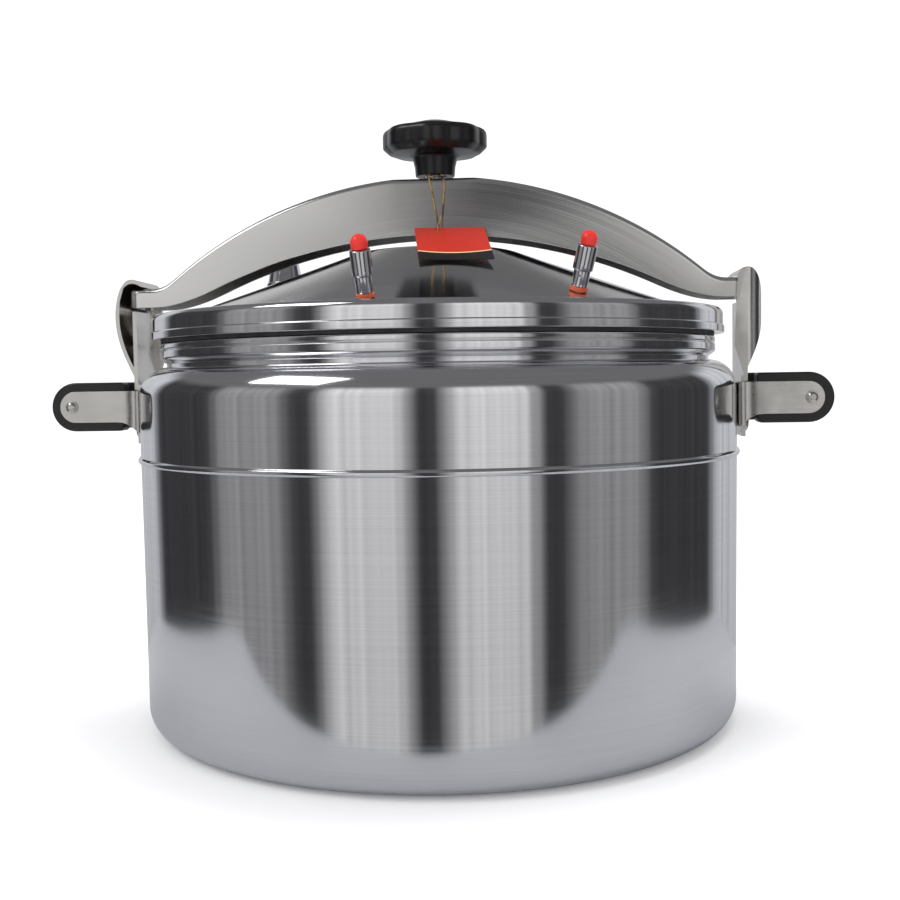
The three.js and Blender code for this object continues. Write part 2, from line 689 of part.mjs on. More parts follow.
// Plan of the beam with rounded corners at its tips.
function beamPlan(inset) {
  const x = beam.reach - beam.corner;
  const y = beam.halfWidth - beam.corner;
  const radius = beam.corner - inset;
  return [
    ...arc(x, y, radius, 0, 90, 4),
    ...arc(-x, y, radius, 90, 180, 4),
    ...arc(-x, -y, radius, 180, 270, 4),
    ...arc(x, -y, radius, 270, 360, 4),
  ];
}

function makeBeam(parent) {
  const inside = beam.halfWidth - beam.sheet;
  const screwHole = disc(screw.radius + 0.6, beam.topZ - 10, beam.topZ + 5, 24);
  const shell = cut(
    common(slabXZ(beamOutline(), -beam.halfWidth, beam.halfWidth), slabXY(beamPlan(0), 290, 410)),
    common(slabXZ(beamChannel(), -inside, inside), slabXY(beamPlan(beam.sheet), 290, 410)),
    screwHole,
  );
  addPiece(parent, 'clamp_beam', shell, 'aluminium');
  const bushTop = beam.topZ - beam.sheet - GAP;
  addPiece(parent, 'beam_bush', ring(screw.radius + 0.35, bush.radius, bush.bottom, bushTop, 24), 'stainless');
}

// ---------------------------------------------------------------- clamp screw, foot and knob
function makeScrew(parent) {
  const grooveTop = screw.grooveZ + 4;
  const shaft = turned([
    pt(0, screw.bottom), pt(5, screw.bottom), pt(screw.spigot, screw.bottom + 1), pt(screw.spigot, screw.grooveZ),
    pt(4.4, screw.grooveZ), pt(4.4, grooveTop), pt(screw.spigot, grooveTop), pt(screw.spigot, foot.top + 3),
    pt(screw.radius, foot.top + 5), pt(screw.radius, knob.stemBottom + 8), pt(screw.spigot, knob.stemBottom + 10),
    pt(screw.spigot, screw.top), pt(0, screw.top),
  ], 24);
  addPiece(parent, 'clamp_screw', shaft, 'stainless');
}

function makeFoot(parent) {
  const socket = disc(screw.spigot + 0.4, screw.bottom - 0.5, foot.top + 1, 24);
  const pad = turned([
    pt(0, foot.bottom), pt(foot.radius - 1, foot.bottom), pt(foot.radius, foot.bottom + 1),
    pt(foot.radius, foot.bottom + 3), pt(13, foot.bottom + 5), pt(13, foot.top), pt(0, foot.top),
  ], 24);
  const pinZ = screw.grooveZ + 2;
  const pinHole = (sign) => rod(1.6, vec(0, sign * 5, pinZ), vec(0, sign * 15, pinZ), 10);
  addPiece(parent, 'pressure_foot', cut(pad, socket, pinHole(1), pinHole(-1)), 'stainless');
  [1, -1].forEach((sign, i) => {
    const pin = rod(1.3, vec(0, sign * 5, pinZ), vec(0, sign * 12.8, pinZ), 10);
    addPiece(parent, `foot_set_screw_${i + 1}`, pin, 'stainless');
  });
}

function knobOutline() {
  const count = knob.lobes * 6;
  const points = [];
  for (let i = 0; i < count; i++) {
    const a = (2 * Math.PI * i) / count;
    const swell = 0.5 + 0.5 * Math.cos(knob.lobes * a);
    const radius = knob.radius - 3 - knob.lobeDepth * (1 - swell);
    points.push(pt(radius * Math.cos(a), radius * Math.sin(a)));
  }
  return points;
}

function makeKnob(parent) {
  const bevel = 3;
  const head = extruded(knobOutline(), knob.top - knob.bottom - 2 * bevel, {
    bevelEnabled: true, bevelThickness: bevel, bevelSize: bevel, bevelSegments: 1,
  }).translate(0, 0, knob.bottom + bevel);
  const stem = turned([
    pt(0, knob.stemBottom), pt(14.4, knob.stemBottom), pt(15, knob.stemBottom + 1),
    pt(16.5, knob.bottom - 2), pt(19, knob.bottom + 1), pt(0, knob.bottom + 1),
  ], 32);
  const crown = turned([
    pt(0, knob.top - 1), pt(31, knob.top - 1), pt(29, knob.top + 1.6), pt(21, knob.top + 4.8),
    pt(11, knob.crown - 0.5), pt(0, knob.crown),
  ], 32);
  const bore = turned([
    pt(0, knob.stemBottom - 1), pt(screw.radius + 0.4, knob.stemBottom - 1), pt(screw.radius + 0.4, knob.stemBottom + 8.4),
    pt(screw.spigot + 0.4, knob.stemBottom + 10.4), pt(screw.spigot + 0.4, screw.top + 0.4), pt(0, screw.top + 0.4),
  ], 24);
  addPiece(parent, 'knob', cut(join(head, stem, crown), bore), 'bakelite');
}

// ---------------------------------------------------------------- hang tag and its string
const tagSlope = Math.atan2(tag.topZ - tag.bottomZ, tag.topY - tag.bottomY);
const tagLength = Math.hypot(tag.topZ - tag.bottomZ, tag.topY - tag.bottomY);

// The card is drawn round its string hole, turned a little about it, then laid on its slope.
function makeTag(parent) {
  const card = cut(
    box(tag.left, tag.right, tag.holeDrop - tagLength, tag.holeDrop, 0, tag.thick),
    disc(tag.holeRadius, -1, 2, 12),
  );
  card.rotateY(THREE.MathUtils.degToRad(tag.roll)).rotateZ(THREE.MathUtils.degToRad(tag.turn));
  card.translate(0, -tag.holeDrop, 0);
  card.rotateX(tagSlope).translate(tag.x, tag.topY, tag.topZ);
  addPiece(parent, 'hang_tag', card, 'card');
}

// One thin cord: from the left of the knob's stem over the beam's front edge, through the tag's hole
// from behind, and back up to the right of the stem.
const stringRoute = [
  vec(-3.0, -16.2, 401.2),
  vec(-3.2, -18.5, 400.2),
  vec(-3.2, -21.6, 399.8),
  vec(-3.0, -23.3, 398.6),
  vec(-2.4, -23.8, 395.5),
  vec(-0.6, -24.0, 387),
  vec(1.6, -24.8, 374),
  vec(3.0, -26.8, 364.5),
  vec(3.6, -28.2, 359.8),
  vec(3.9, -30.6, 356.6),
  vec(4.0, -33.4, 356.2),
  vec(4.0, -34.8, 358.5),
  vec(4.1, -35.4, 361.0),
  vec(4.5, -34.2, 363.2),
  vec(5.2, -30.6, 365.6),
  vec(6.0, -27.4, 369.6),
  vec(7.2, -24.9, 378),
  vec(8.2, -24.0, 388),
  vec(8.2, -23.8, 395.5),
  vec(8.0, -23.3, 398.6),
  vec(7.4, -21.6, 399.8),
  vec(6.4, -18.4, 400.2),
  vec(5.4, -15.8, 401.2),
];

function makeString(parent) {
  addPiece(parent, 'tag_string', wire(stringRoute, stringRadius, 6, 44), 'gold');
}

// ---------------------------------------------------------------- assembly
makePot(canner);
makeEars(canner);
makeRivets(canner);
makeHandles(canner);
makeLid(canner);
makeReliefValves(canner);
makeSafetyPlug(canner);
makeVent(canner);
makeBeam(canner);
makeScrew(canner);
makeFoot(canner);
makeKnob(canner);
makeTag(canner);
makeString(canner);

export default canner;
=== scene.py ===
"""The looks of a pressure canner, built in Blender 4.5 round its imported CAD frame.

Shapes are written in millimetres in the part's own frame (+Z up, +X along the clamp beam, origin at
the centre of the pot's base) and become metres in piece(). Each piece stands for one CAD node and
rides on that node's body.
"""

import json
import math
from types import SimpleNamespace

import bmesh
import bpy
from mathutils import Matrix, Vector

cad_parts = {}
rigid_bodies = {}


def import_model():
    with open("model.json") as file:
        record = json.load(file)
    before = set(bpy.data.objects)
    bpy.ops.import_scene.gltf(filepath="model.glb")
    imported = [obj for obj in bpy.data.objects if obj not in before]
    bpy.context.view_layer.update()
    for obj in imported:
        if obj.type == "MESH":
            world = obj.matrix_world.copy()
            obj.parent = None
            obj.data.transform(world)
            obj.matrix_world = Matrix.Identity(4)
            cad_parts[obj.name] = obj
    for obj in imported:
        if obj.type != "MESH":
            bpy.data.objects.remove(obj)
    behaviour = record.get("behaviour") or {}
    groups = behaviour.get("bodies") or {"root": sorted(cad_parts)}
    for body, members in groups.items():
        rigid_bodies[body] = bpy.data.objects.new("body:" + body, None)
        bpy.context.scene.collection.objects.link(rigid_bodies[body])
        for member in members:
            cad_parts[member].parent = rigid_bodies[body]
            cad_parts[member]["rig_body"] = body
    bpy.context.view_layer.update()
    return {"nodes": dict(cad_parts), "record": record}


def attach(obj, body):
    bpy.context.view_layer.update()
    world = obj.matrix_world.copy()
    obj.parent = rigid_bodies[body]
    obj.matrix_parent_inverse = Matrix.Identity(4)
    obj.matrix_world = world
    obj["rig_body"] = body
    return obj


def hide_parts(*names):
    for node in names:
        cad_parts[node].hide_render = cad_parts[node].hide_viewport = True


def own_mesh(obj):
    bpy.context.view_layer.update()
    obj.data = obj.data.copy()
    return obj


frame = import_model()

# ---------------------------------------------------------------- driving dimensions, mm
MM = 0.001
ROUND = 256  # segments round the pot and the lid
SMALL = 64  # segments round valves, screws and rivets
SHARP = math.radians(32)  # edges that turn more than this stay sharp

pot = SimpleNamespace(
    radius=220, wall=4, floor=5, base=219, corner=18, bead_z=196, bead=2.4, wall_top=241,
    shoulder_top=262, neck=200, rim=205, rim_bottom=266, top=278.4, mouth=189,
)
lid = SimpleNamespace(
    radius=210.5, step_radius=211.4, bottom=281, step=286, top=299, edge=6, foot=185, slope=0.362,
    plateau=52, slope_end=65, plateau_z=345.5, wall=4.5, inner=183, lip=186, lip_bottom=273,
)
beam = SimpleNamespace(
    half=22, sheet=3, reach=231, tip_low=307.5, tip_top=321.5, tip_inner=212, top_z=398,
    top_flat=30, top_arc=305, top_arc_end=196, low_z=357, low_arc=390, low_arc_end=165, fold=4.5, corner=8,
)
ear = SimpleNamespace(
    half=25.5, sheet=3, base_inner=223.3, base_low=206, web=226.5, bulge=239.5, bulge_z=300, low=256,
    top=328.4, ledge=304.5, hood=219.6, hood_under=322, bend_y=-4,
)
strap = SimpleNamespace(inner=220.4, sheet=2.5, base_low=214, low=222.5, high=245.5, end=277.8, outer_y=41.5)
grip = SimpleNamespace(inner=231, outer=285.3, low=216, high=252, bar=254, cheek=14.7)
arm_screw = SimpleNamespace(x=268.8, z=234, head=4.6)
screw = SimpleNamespace(radius=8, spigot=6, low=349, top=431, groove_z=352.5, pitch=2.5)
knob = SimpleNamespace(radius=39, lobes=8, depth=2.2, low=417, top=436, crown=443, stem_low=402)
foot = SimpleNamespace(radius=19, low=345.8, top=357)
vent = SimpleNamespace(x=-128.9, y=66.2, pad_radius=13, pad_top=318)
nozzle = SimpleNamespace(washer_top=319.8, flange_top=326, top=346, radius=3.2, low=292)
relief = SimpleNamespace(
    seal_radius=5.8, seal_top=3.2, body_radius=5.4, body_top=14, neck_radius=4.2, neck_top=17.2,
    sleeve_radius=6.6, sleeve_top=30.4, sleeve_roof=2, disc_top=19.5, lift=3, rod=1.9,
    cap_radius=5.4, cap_middle=34.3, spigot_low=-14,
)
relief_places = ((-30.3, -175.5), (101, -132))
plug_place = (54.5, 124.1)
rivet = SimpleNamespace(shank=3.5, head=6.5, height=2.6, angle=4.1, rows=(216, 233))
tag = SimpleNamespace(
    x=4, top_y=-30, top_z=360, bottom_y=-102, bottom_z=330.2, left=-17, right=34, thick=0.8,
    turn=7.2, roll=2.9, hole_drop=5, hole=2.2,
)
STRING_RADIUS = 0.5
GAP = 0.3


# ---------------------------------------------------------------- camera
def make_camera():
    """The viewing angle: a little above the pot's middle, slightly to the right, nearly level."""
    place, turn, pitch, roll, lens = (0.0729, -0.9299, 0.2511), 4.0, 3.33, 0.89, 49.2
    data = bpy.data.cameras.new("camera")
    data.lens = lens
    camera = bpy.data.objects.new("camera", data)
    bpy.context.scene.collection.objects.link(camera)
    camera.matrix_world = (
        Matrix.Translation(place)
        @ Matrix.Rotation(math.radians(turn), 4, "Z")
        @ Matrix.Rotation(math.radians(90 - pitch), 4, "X")
        @ Matrix.Rotation(math.radians(-roll), 4, "Z")
    )
    bpy.context.scene.camera = camera


# ---------------------------------------------------------------- node graphs
def srgb(red, green, blue):
    """A linear colour from display values of 0 to 255."""
    def linear(value):
        share = value / 255
        return share / 12.92 if share < 0.04045 else ((share + 0.055) / 1.055) ** 2.4
    return (linear(red), linear(green), linear(blue), 1.0)


class Graph:
    """Short ways to add and join the nodes of a material or a world."""

    def __init__(self, tree):
        self.tree = tree

    def add(self, kind, inputs=None, **settings):
        node = self.tree.nodes.new("ShaderNode" + kind)
        for key, value in settings.items():
            setattr(node, key, value)
        for key, value in (inputs or {}).items():
            self.set(node.inputs[key], value)
        return node

    def set(self, socket, value):
        if isinstance(value, bpy.types.NodeSocket):
            self.tree.links.new(value, socket)
        else:
            socket.default_value = value

    def math(self, operation, first, second=0.0):
        return self.add("Math", {0: first, 1: second}, operation=operation).outputs[0]

    def ramp(self, factor, stops, interpolation="LINEAR"):
        """A colour ramp from (position, colour) pairs."""
        node = self.add("ValToRGB", {"Fac": factor})
        node.color_ramp.interpolation = interpolation
        elements = node.color_ramp.elements
        elements.remove(elements[1])
        elements[0].position, elements[0].color = stops[0]
        for position, colour in stops[1:]:
            elements.new(position).color = colour
        return node.outputs["Color"]

    def mix(self, factor, first, second):
        node = self.add("Mix", {"Factor": factor}, data_type="RGBA")
        self.set(node.inputs[6], first)
        self.set(node.inputs[7], second)
        return node.outputs[2]

    def between(self, value, low, high, to_low=0.0, to_high=1.0, smooth=False):
        node = self.add("MapRange", {"Value": value, "From Min": low, "From Max": high,
                                     "To Min": to_low, "To Max": to_high})
        node.interpolation_type = "SMOOTHSTEP" if smooth else "LINEAR"
        return node.outputs["Result"]

    def object_xyz(self):
        place = self.add("TexCoord").outputs["Object"]
        split = self.add("SeparateXYZ", {"Vector": place})
        return [split.outputs[axis] for axis in "XYZ"]


class Finish(Graph):
    """A Principled material. Values that are the same all over go straight on its sockets."""

    def __init__(self, name, colour, roughness, **sockets):
        self.material = bpy.data.materials.new(name)
        self.material.use_nodes = True
        super().__init__(self.material.node_tree)
        self.shader = self.tree.nodes["Principled BSDF"]
        self.shader.inputs["Base Color"].default_value = colour
        self.shader.inputs["Roughness"].default_value = roughness
        for socket, value in sockets.items():
            self.shader.inputs[socket.replace("_", " ")].default_value = value

    def drive(self, socket, value):
        self.tree.links.new(value, self.shader.inputs[socket])

    def noise(self, scale, detail=3.0, vector=None, stretch=(1, 1, 1)):
        """Noise in the piece's own coordinates; scale is in waves per metre."""
        if vector is None:
            vector = self.add("TexCoord").outputs["Object"]
        vector = self.add("Mapping", {"Vector": vector, "Scale": stretch}).outputs["Vector"]
        return self.add("TexNoise", {"Vector": vector, "Scale": scale, "Detail": detail}).outputs["Fac"]

    def lines_round(self, axis, scale, drift):
        """Noise drawn out into fine lines round an axis, as a lathe or an arched brush leaves them."""
        x, y, z = self.object_xyz()
        across, up, along = {"Z": (x, y, z), "Y": (z, x, y)}[axis]
        flat = self.add("CombineXYZ", {"X": across, "Y": up})
        radius = self.add("VectorMath", {0: flat.outputs[0]}, operation="LENGTH").outputs["Value"]
        radius = self.math("MAXIMUM", radius, 1e-5)
        cosine = self.math("DIVIDE", across, radius)
        sine = self.math("DIVIDE", up, radius)
        vector = self.add("CombineXYZ", {
            "X": self.math("MULTIPLY", radius, scale),
            "Y": self.math("MULTIPLY", along, scale),
            "Z": self.math("MULTIPLY", cosine, drift),
        })
        noise = self.add("TexNoise", {
            "Vector": vector.outputs[0], "W": self.math("MULTIPLY", sine, drift),
            "Scale": 1.0, "Detail": 4.0, "Roughness": 0.65,
        }, noise_dimensions="4D")
        return noise.outputs["Fac"]

    def bump(self, height, distance, strength=1.0):
        """Relief of that height in metres."""
        node = self.add("Bump", {"Height": height, "Distance": distance, "Strength": strength})
        self.drive("Normal", node.outputs["Normal"])

    def vary_roughness(self, factor, low, high):
        self.drive("Roughness", self.between(factor, 0.3, 0.7, low, high))

    def vary_colour(self, factor, first, second, low=0.3, high=0.7):
        self.drive("Base Color", self.mix(self.between(factor, low, high), first, second))


# ---------------------------------------------------------------- finishes
def turned_metal(name, colour, roughness, anisotropy, lines, relief_height, axis="Z"):
    """Metal with fine lines round its axis, which draw its reflections out across them."""
    finish = Finish(name, colour, roughness, Metallic=1.0, Anisotropic=anisotropy)
    finish.shader.inputs["Anisotropic Rotation"].default_value = 0.25
    tangent = finish.add("Tangent", direction_type="RADIAL", axis=axis)
    finish.drive("Tangent", tangent.outputs[0])
    grain = finish.lines_round(axis, lines, 1.5)
    dull = tuple(channel * 0.9 for channel in colour[:3]) + (1.0,)
    finish.vary_colour(grain, dull, colour)
    finish.vary_roughness(grain, roughness * 0.8, roughness * 1.25)
    finish.bump(grain, relief_height)
    return finish.material


def sheet_metal(name, colour, roughness, wave, scratch):
    """Pressed sheet: soft waves that bend its reflections, and fine scratches along it."""
    finish = Finish(name, colour, roughness, Metallic=1.0)
    scratches = finish.noise(40, 5.0, stretch=(1.5, 40, 40))
    waves = finish.noise(28, 2.0)
    finish.vary_roughness(scratches, roughness * 0.75, roughness * 1.3)
    dull = tuple(channel * 0.88 for channel in colour[:3]) + (1.0,)
    finish.vary_colour(waves, dull, colour)
    height = finish.math("ADD", finish.math("MULTIPLY", waves, wave),
                         finish.math("MULTIPLY", scratches, scratch))
    finish.bump(height, 1.0)
    return finish.material


def moulded(name, colour, second, roughness, pit, scale, coat=0.0):
    """Moulded plastic, rubber or silicone with a faint cloudiness and fine pits."""
    finish = Finish(name, colour, roughness, Coat_Weight=coat, Coat_Roughness=0.12)
    cloud = finish.noise(90, 2.0)
    pits = finish.noise(scale, 3.0)
    finish.vary_colour(cloud, colour, second)
    finish.vary_roughness(pits, roughness * 0.8, roughness * 1.25)
    finish.bump(pits, pit)
    return finish.material


def printed_card():
    """Glossy card: a red field, a pale gold curve and a dark foot."""
    finish = Finish("tag_card", srgb(196, 40, 20), 0.38, Coat_Weight=0.15, Coat_Roughness=0.2)
    x, y, _ = finish.object_xyz()
    middle = (tag.left + tag.right) / 2 * MM
    bow = finish.math("POWER", finish.math("SUBTRACT", x, middle - 0.001), 2.0)
    curve = finish.math("ADD", y, finish.math("MULTIPLY", bow, -9.0))
    low = (tag.hole_drop - tag_length()) * MM
    fibre = finish.noise(900, 4.0)
    red = finish.mix(finish.between(fibre, 0.3, 0.7), srgb(178, 30, 14), srgb(202, 46, 24))
    dark = finish.mix(fibre, srgb(16, 12, 14), srgb(38, 32, 34))
    edge, band = low + 0.0135, 0.0022
    below = finish.between(curve, edge + 0.0004, edge)
    gold = finish.math("MULTIPLY", finish.between(curve, edge - 0.0002, edge + 0.0002),
                       finish.between(curve, edge + band, edge + band - 0.0004))
    finish.drive("Base Color", finish.mix(gold, finish.mix(below, red, dark), srgb(232, 205, 150)))
    finish.bump(fibre, 0.00002)
    return finish.material


def twisted_thread():
    """Metallic thread: gold strands wound with darker ones."""
    finish = Finish("gold_cord", srgb(214, 176, 82), 0.45, Metallic=0.35)
    x, y, z = finish.object_xyz()
    along = finish.math("ADD", finish.math("MULTIPLY", z, 5200.0), finish.math("MULTIPLY", x, 7600.0))
    twist = finish.math("SINE", finish.math("ADD", along, finish.math("MULTIPLY", y, 3800.0)))
    patches = finish.noise(260, 2.0)
    gold = finish.mix(finish.between(twist, -0.4, 0.4), srgb(120, 84, 50), srgb(236, 200, 96))
    finish.drive("Base Color", finish.mix(finish.between(patches, 0.5, 0.62), gold, srgb(110, 84, 98)))
    finish.bump(twist, 0.00008)
    return finish.material


def make_finishes():
    """One finish for each of the record's material slots."""
    bright = srgb(240, 240, 243)
    return {
        "spun_aluminium": turned_metal("spun_aluminium", bright, 0.1, 0.8, 1500, 0.000002),
        "polished_lid": turned_metal("polished_lid", bright, 0.09, 0.6, 900, 0.000004),
        "beam_aluminium": turned_metal("beam_aluminium", srgb(238, 237, 235), 0.19, 0.8, 1600, 0.000004, "Y"),
        "stainless": sheet_metal("stainless", srgb(222, 219, 215), 0.2, 0.0006, 0.00001),
        "chrome": turned_metal("chrome", srgb(232, 232, 236), 0.08, 0.2, 1600, 0.000006),
        "brass": turned_metal("brass", srgb(214, 176, 96), 0.24, 0.3, 1500, 0.00001),
        "bakelite": moulded("bakelite", srgb(10, 10, 11), srgb(17, 17, 18), 0.32, 0.00001, 1500, 0.2),
        "gasket_rubber": moulded("gasket_rubber", srgb(34, 34, 37), srgb(48, 48, 50), 0.6, 0.00003, 900),
        "red_cap": moulded("red_cap", srgb(206, 26, 20), srgb(224, 44, 34), 0.34, 0.00001, 1100, 0.3),
        "orange_silicone": moulded("orange_silicone", srgb(206, 84, 48), srgb(222, 104, 66), 0.5, 0.00002,
                                   1000),
        "tag_card": printed_card(),
        "gold_cord": twisted_thread(),
    }


# ---------------------------------------------------------------- outlines
def arc(x, y, radius, start, end, steps):
    """Points along a circular arc, angles in degrees."""
    angles = [math.radians(start + (end - start) * i / steps) for i in range(steps + 1)]
    return [(x + radius * math.cos(a), y + radius * math.sin(a)) for a in angles]


def bezier(controls, steps):
    """Points of a Bezier curve of any order, without its first point."""
    points = []
    for i in range(1, steps + 1):
        t = i / steps
        row = [Vector(c) for c in controls]
        while len(row) > 1:
            row = [a.lerp(b, t) for a, b in zip(row, row[1:])]
        points.append(tuple(row[0]))
    return points


def rounded(outline, closed=True, steps=5):
    """The outline with each corner that has a third number, its radius, turned into a curve."""
    smooth = []
    count = len(outline)
    for i, corner in enumerate(outline):
        here = Vector(corner[:2])
        inside = closed or 0 < i < count - 1
        if len(corner) < 3 or not inside:
            smooth.append(tuple(here))
            continue
        back = Vector(outline[i - 1][:2]) - here
        ahead = Vector(outline[(i + 1) % count][:2]) - here
        reach = corner[2] / math.tan(back.angle(ahead) / 2)
        reach = min(reach, back.length * 0.49, ahead.length * 0.49)
        start, end = here + back.normalized() * reach, here + ahead.normalized() * reach
        smooth.append(tuple(start))
        smooth.extend(bezier((start, here, end), steps))
    return smooth


def height_on(points, x):
    """The second coordinate of a polyline, listed by rising x, at that x."""
    for (x0, y0), (x1, y1) in zip(points, points[1:]):
        if x <= x1:
            return y0 + (y1 - y0) * (x - x0) / (x1 - x0)
    return points[-1][1]


# ---------------------------------------------------------------- solids
def add_lathe(bm, profile, segments=SMALL, swell=None):
    """A solid of revolution about Z. A profile that leaves the axis at both ends closes on itself.
    swell(angle, height) may add to the radius."""
    rings = []
    for radius, height in profile:
        if radius < 1e-6:
            rings.append([bm.verts.new((0, 0, height))])
            continue
        ring = []
        for k in range(segments):
            angle = 2 * math.pi * k / segments
            reach = radius + (swell(angle, height, radius) if swell else 0)
            ring.append(bm.verts.new((reach * math.cos(angle), reach * math.sin(angle), height)))
        rings.append(ring)
    pairs = list(zip(rings, rings[1:]))
    if profile[0][0] > 1e-6:
        pairs.append((rings[-1], rings[0]))
    for low, high in pairs:
        on_axis = len(low) == len(high) == 1
        for k in range(0 if on_axis else segments):
            n = (k + 1) % segments
            corners = [low[k % len(low)], low[n % len(low)], high[n % len(high)], high[k % len(high)]]
            bm.faces.new(dict.fromkeys(corners))
    return bm


def lathe(profile, segments=SMALL, swell=None):
    return add_lathe(bmesh.new(), profile, segments, swell)


def disc(radius, low, high, segments=SMALL):
    return lathe([(0, low), (radius, low), (radius, high), (0, high)], segments)


def ring(inner, outer, low, high, edge=0.3, segments=SMALL):
    corners = [(inner, low, edge), (outer, low, edge), (outer, high, edge), (inner, high, edge)]
    return lathe(rounded(corners), segments)


def prism(outline, low, high, plane="XZ"):
    """An outline's prism: in the XZ plane it runs from y=low to y=high, in XY from z=low to z=high."""
    bm = bmesh.new()
    at = {"XZ": lambda u, v, w: (u, w, v), "XY": lambda u, v, w: (u, v, w)}[plane]
    near = [bm.verts.new(at(u, v, low)) for u, v in outline]
    far = [bm.verts.new(at(u, v, high)) for u, v in outline]
    bm.faces.new(near)
    bm.faces.new(far)
    for i in range(len(outline)):
        j = (i + 1) % len(outline)
        bm.faces.new((near[i], near[j], far[j], far[i]))
    return bm


def block(x0, x1, y0, y1, z0, z1):
    return prism([(x0, z0), (x1, z0), (x1, z1), (x0, z1)], y0, y1)


def hexagon(across_corners, low, high):
    return prism(arc(0, 0, across_corners / 2, 0, 300, 5), low, high, "XY")


def loft(loops, closed_loops=True):
    """Skins a row of point loops and closes its two ends."""
    bm = bmesh.new()
    rows = [[bm.verts.new(p) for p in loop] for loop in loops]
    for low, high in zip(rows, rows[1:]):
        for k in range(len(low) if closed_loops else len(low) - 1):
            n = (k + 1) % len(low)
            bm.faces.new((low[k], low[n], high[n], high[k]))
    bm.faces.new(rows[0])
    bm.faces.new(rows[-1])
    return bm


def moved(bm, matrix):
    bm.transform(matrix)
    return bm


def plain_object(bm):
    bmesh.ops.recalc_face_normals(bm, faces=bm.faces)
    mesh = bpy.data.meshes.new("shape")
    bm.to_mesh(mesh)
    bm.free()
    obj = bpy.data.objects.new("shape", mesh)
    bpy.context.scene.collection.objects.link(obj)
    return obj


def combined(operation, base, *tools):
    """Boolean of closed shapes with Blender's exact solver."""
    owner = plain_object(base)
    helpers = [plain_object(tool) for tool in tools]
    for helper in helpers:
        modifier = owner.modifiers.new("boolean", "BOOLEAN")
        modifier.operation = operation
        modifier.solver = "EXACT"
        modifier.object = helper
    depsgraph = bpy.context.evaluated_depsgraph_get()
    mesh = bpy.data.meshes.new_from_object(owner.evaluated_get(depsgraph))
    result = bmesh.new()
    result.from_mesh(mesh)
    for helper in [owner, *helpers]:
        bpy.data.objects.remove(helper)
    bmesh.ops.remove_doubles(result, verts=result.verts, dist=1e-4)
    return result


def cut(base, *tools):
    return combined("DIFFERENCE", base, *tools)


def join(base, *tools):
    return combined("UNION", base, *tools)


# ---------------------------------------------------------------- pieces
def piece(node, bm, slot, place=None, bevel=0.0, bevel_steps=3):
    """The fine piece that stands for a CAD node, in millimetres until here; bevel is in mm."""
    bmesh.ops.recalc_face_normals(bm, faces=bm.faces)
    bm.transform(Matrix.Scale(MM, 4))
    for face in bm.faces:
        face.smooth = True
    for edge in bm.edges:
        edge.smooth = edge.is_manifold and edge.calc_face_angle(0) < SHARP
    mesh = bpy.data.meshes.new(node + "_fine")
    bm.to_mesh(mesh)
    bm.free()
    mesh.materials.append(finishes[slot])
    obj = bpy.data.objects.new(node + "_fine", mesh)
    bpy.context.scene.collection.objects.link(obj)
    if place is not None:
        obj.matrix_world = place
    if bevel:
        modifier = obj.modifiers.new("edges", "BEVEL")
        modifier.width = bevel * MM
        modifier.segments = bevel_steps
        modifier.limit_method = "ANGLE"
        modifier.angle_limit = math.radians(38)
        modifier.harden_normals = True
    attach(obj, frame["nodes"][node]["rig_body"])
    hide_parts(node)
    return obj


def flank_z(radius):
    return lid.top + (lid.foot - radius) * lid.slope


def upright(x, y, z=0.0):
    """A place at that point, in mm, standing straight up."""
    return Matrix.Translation(Vector((x, y, z)) * MM)


def on_flank(x, y):
    """A place on the lid's flank, its own +Z along the flank's outward normal."""
    around = Matrix.Rotation(math.atan2(y, x), 4, "Z")
    tilt = Matrix.Rotation(math.atan(lid.slope), 4, "Y")
    return upright(x, y, flank_z(math.hypot(x, y))) @ around @ tilt


SIDES = (("left", math.pi), ("right", 0.0))


def turned_side(angle):
    return Matrix.Rotation(angle, 4, "Z")


# ---------------------------------------------------------------- pot
def make_pot():
    rise, reach = pot.shoulder_top - pot.wall_top, pot.radius - pot.neck
    inner = pot.radius - pot.wall

    def shoulder(offset, degrees):
        a = math.radians(degrees)
        return (pot.neck + reach * math.cos(a) - offset, pot.wall_top + (rise - offset) * math.sin(a))

    outside = [(0, 0)] + arc(pot.base - pot.corner, pot.corner, pot.corner, -90, 0, 16)
    outside += bead_profile()
    outside += [shoulder(0, 5 * i) for i in range(19)]
    groove_low, groove_high = 273.2, 275.0
    rim = [
        (pot.neck, pot.rim_bottom - 1.5, 1.2), (pot.rim - 2.6, pot.rim_bottom, 1.5),
        (pot.rim, pot.rim_bottom + 2.4, 2.5),
        (pot.rim, groove_low, 1.4), (pot.rim - 0.9, groove_low + 1, 0.5), (pot.rim - 0.1, groove_high, 0.6),
        (pot.rim - 0.1, pot.top, 1.6),
        (pot.mouth, pot.top, 1.0), (pot.mouth, pot.rim_bottom + 2, 2.0),
    ]
    inside = [shoulder(pot.wall, 90 - 10 * i) for i in range(10)]
    inner_corner = pot.corner - pot.wall
    inside += arc(inner - inner_corner - 1, pot.floor + inner_corner, inner_corner, 0, -90, 10)
    rolled_rim = rounded([outside[-1]] + rim + [inside[0]], closed=False)[1:-1]
    profile = outside + rolled_rim + inside + [(0, pot.floor)]
    piece("pot_shell", lathe(profile, ROUND), "spun_aluminium")


def bead_profile():
    """The raised ring rolled into the wall, as a low round bead."""
    wall_below = (pot.base + 0.9, pot.bead_z - pot.bead - 3)
    return [wall_below] + arc(pot.radius - 0.4, pot.bead_z, pot.bead, -80, 80, 14)


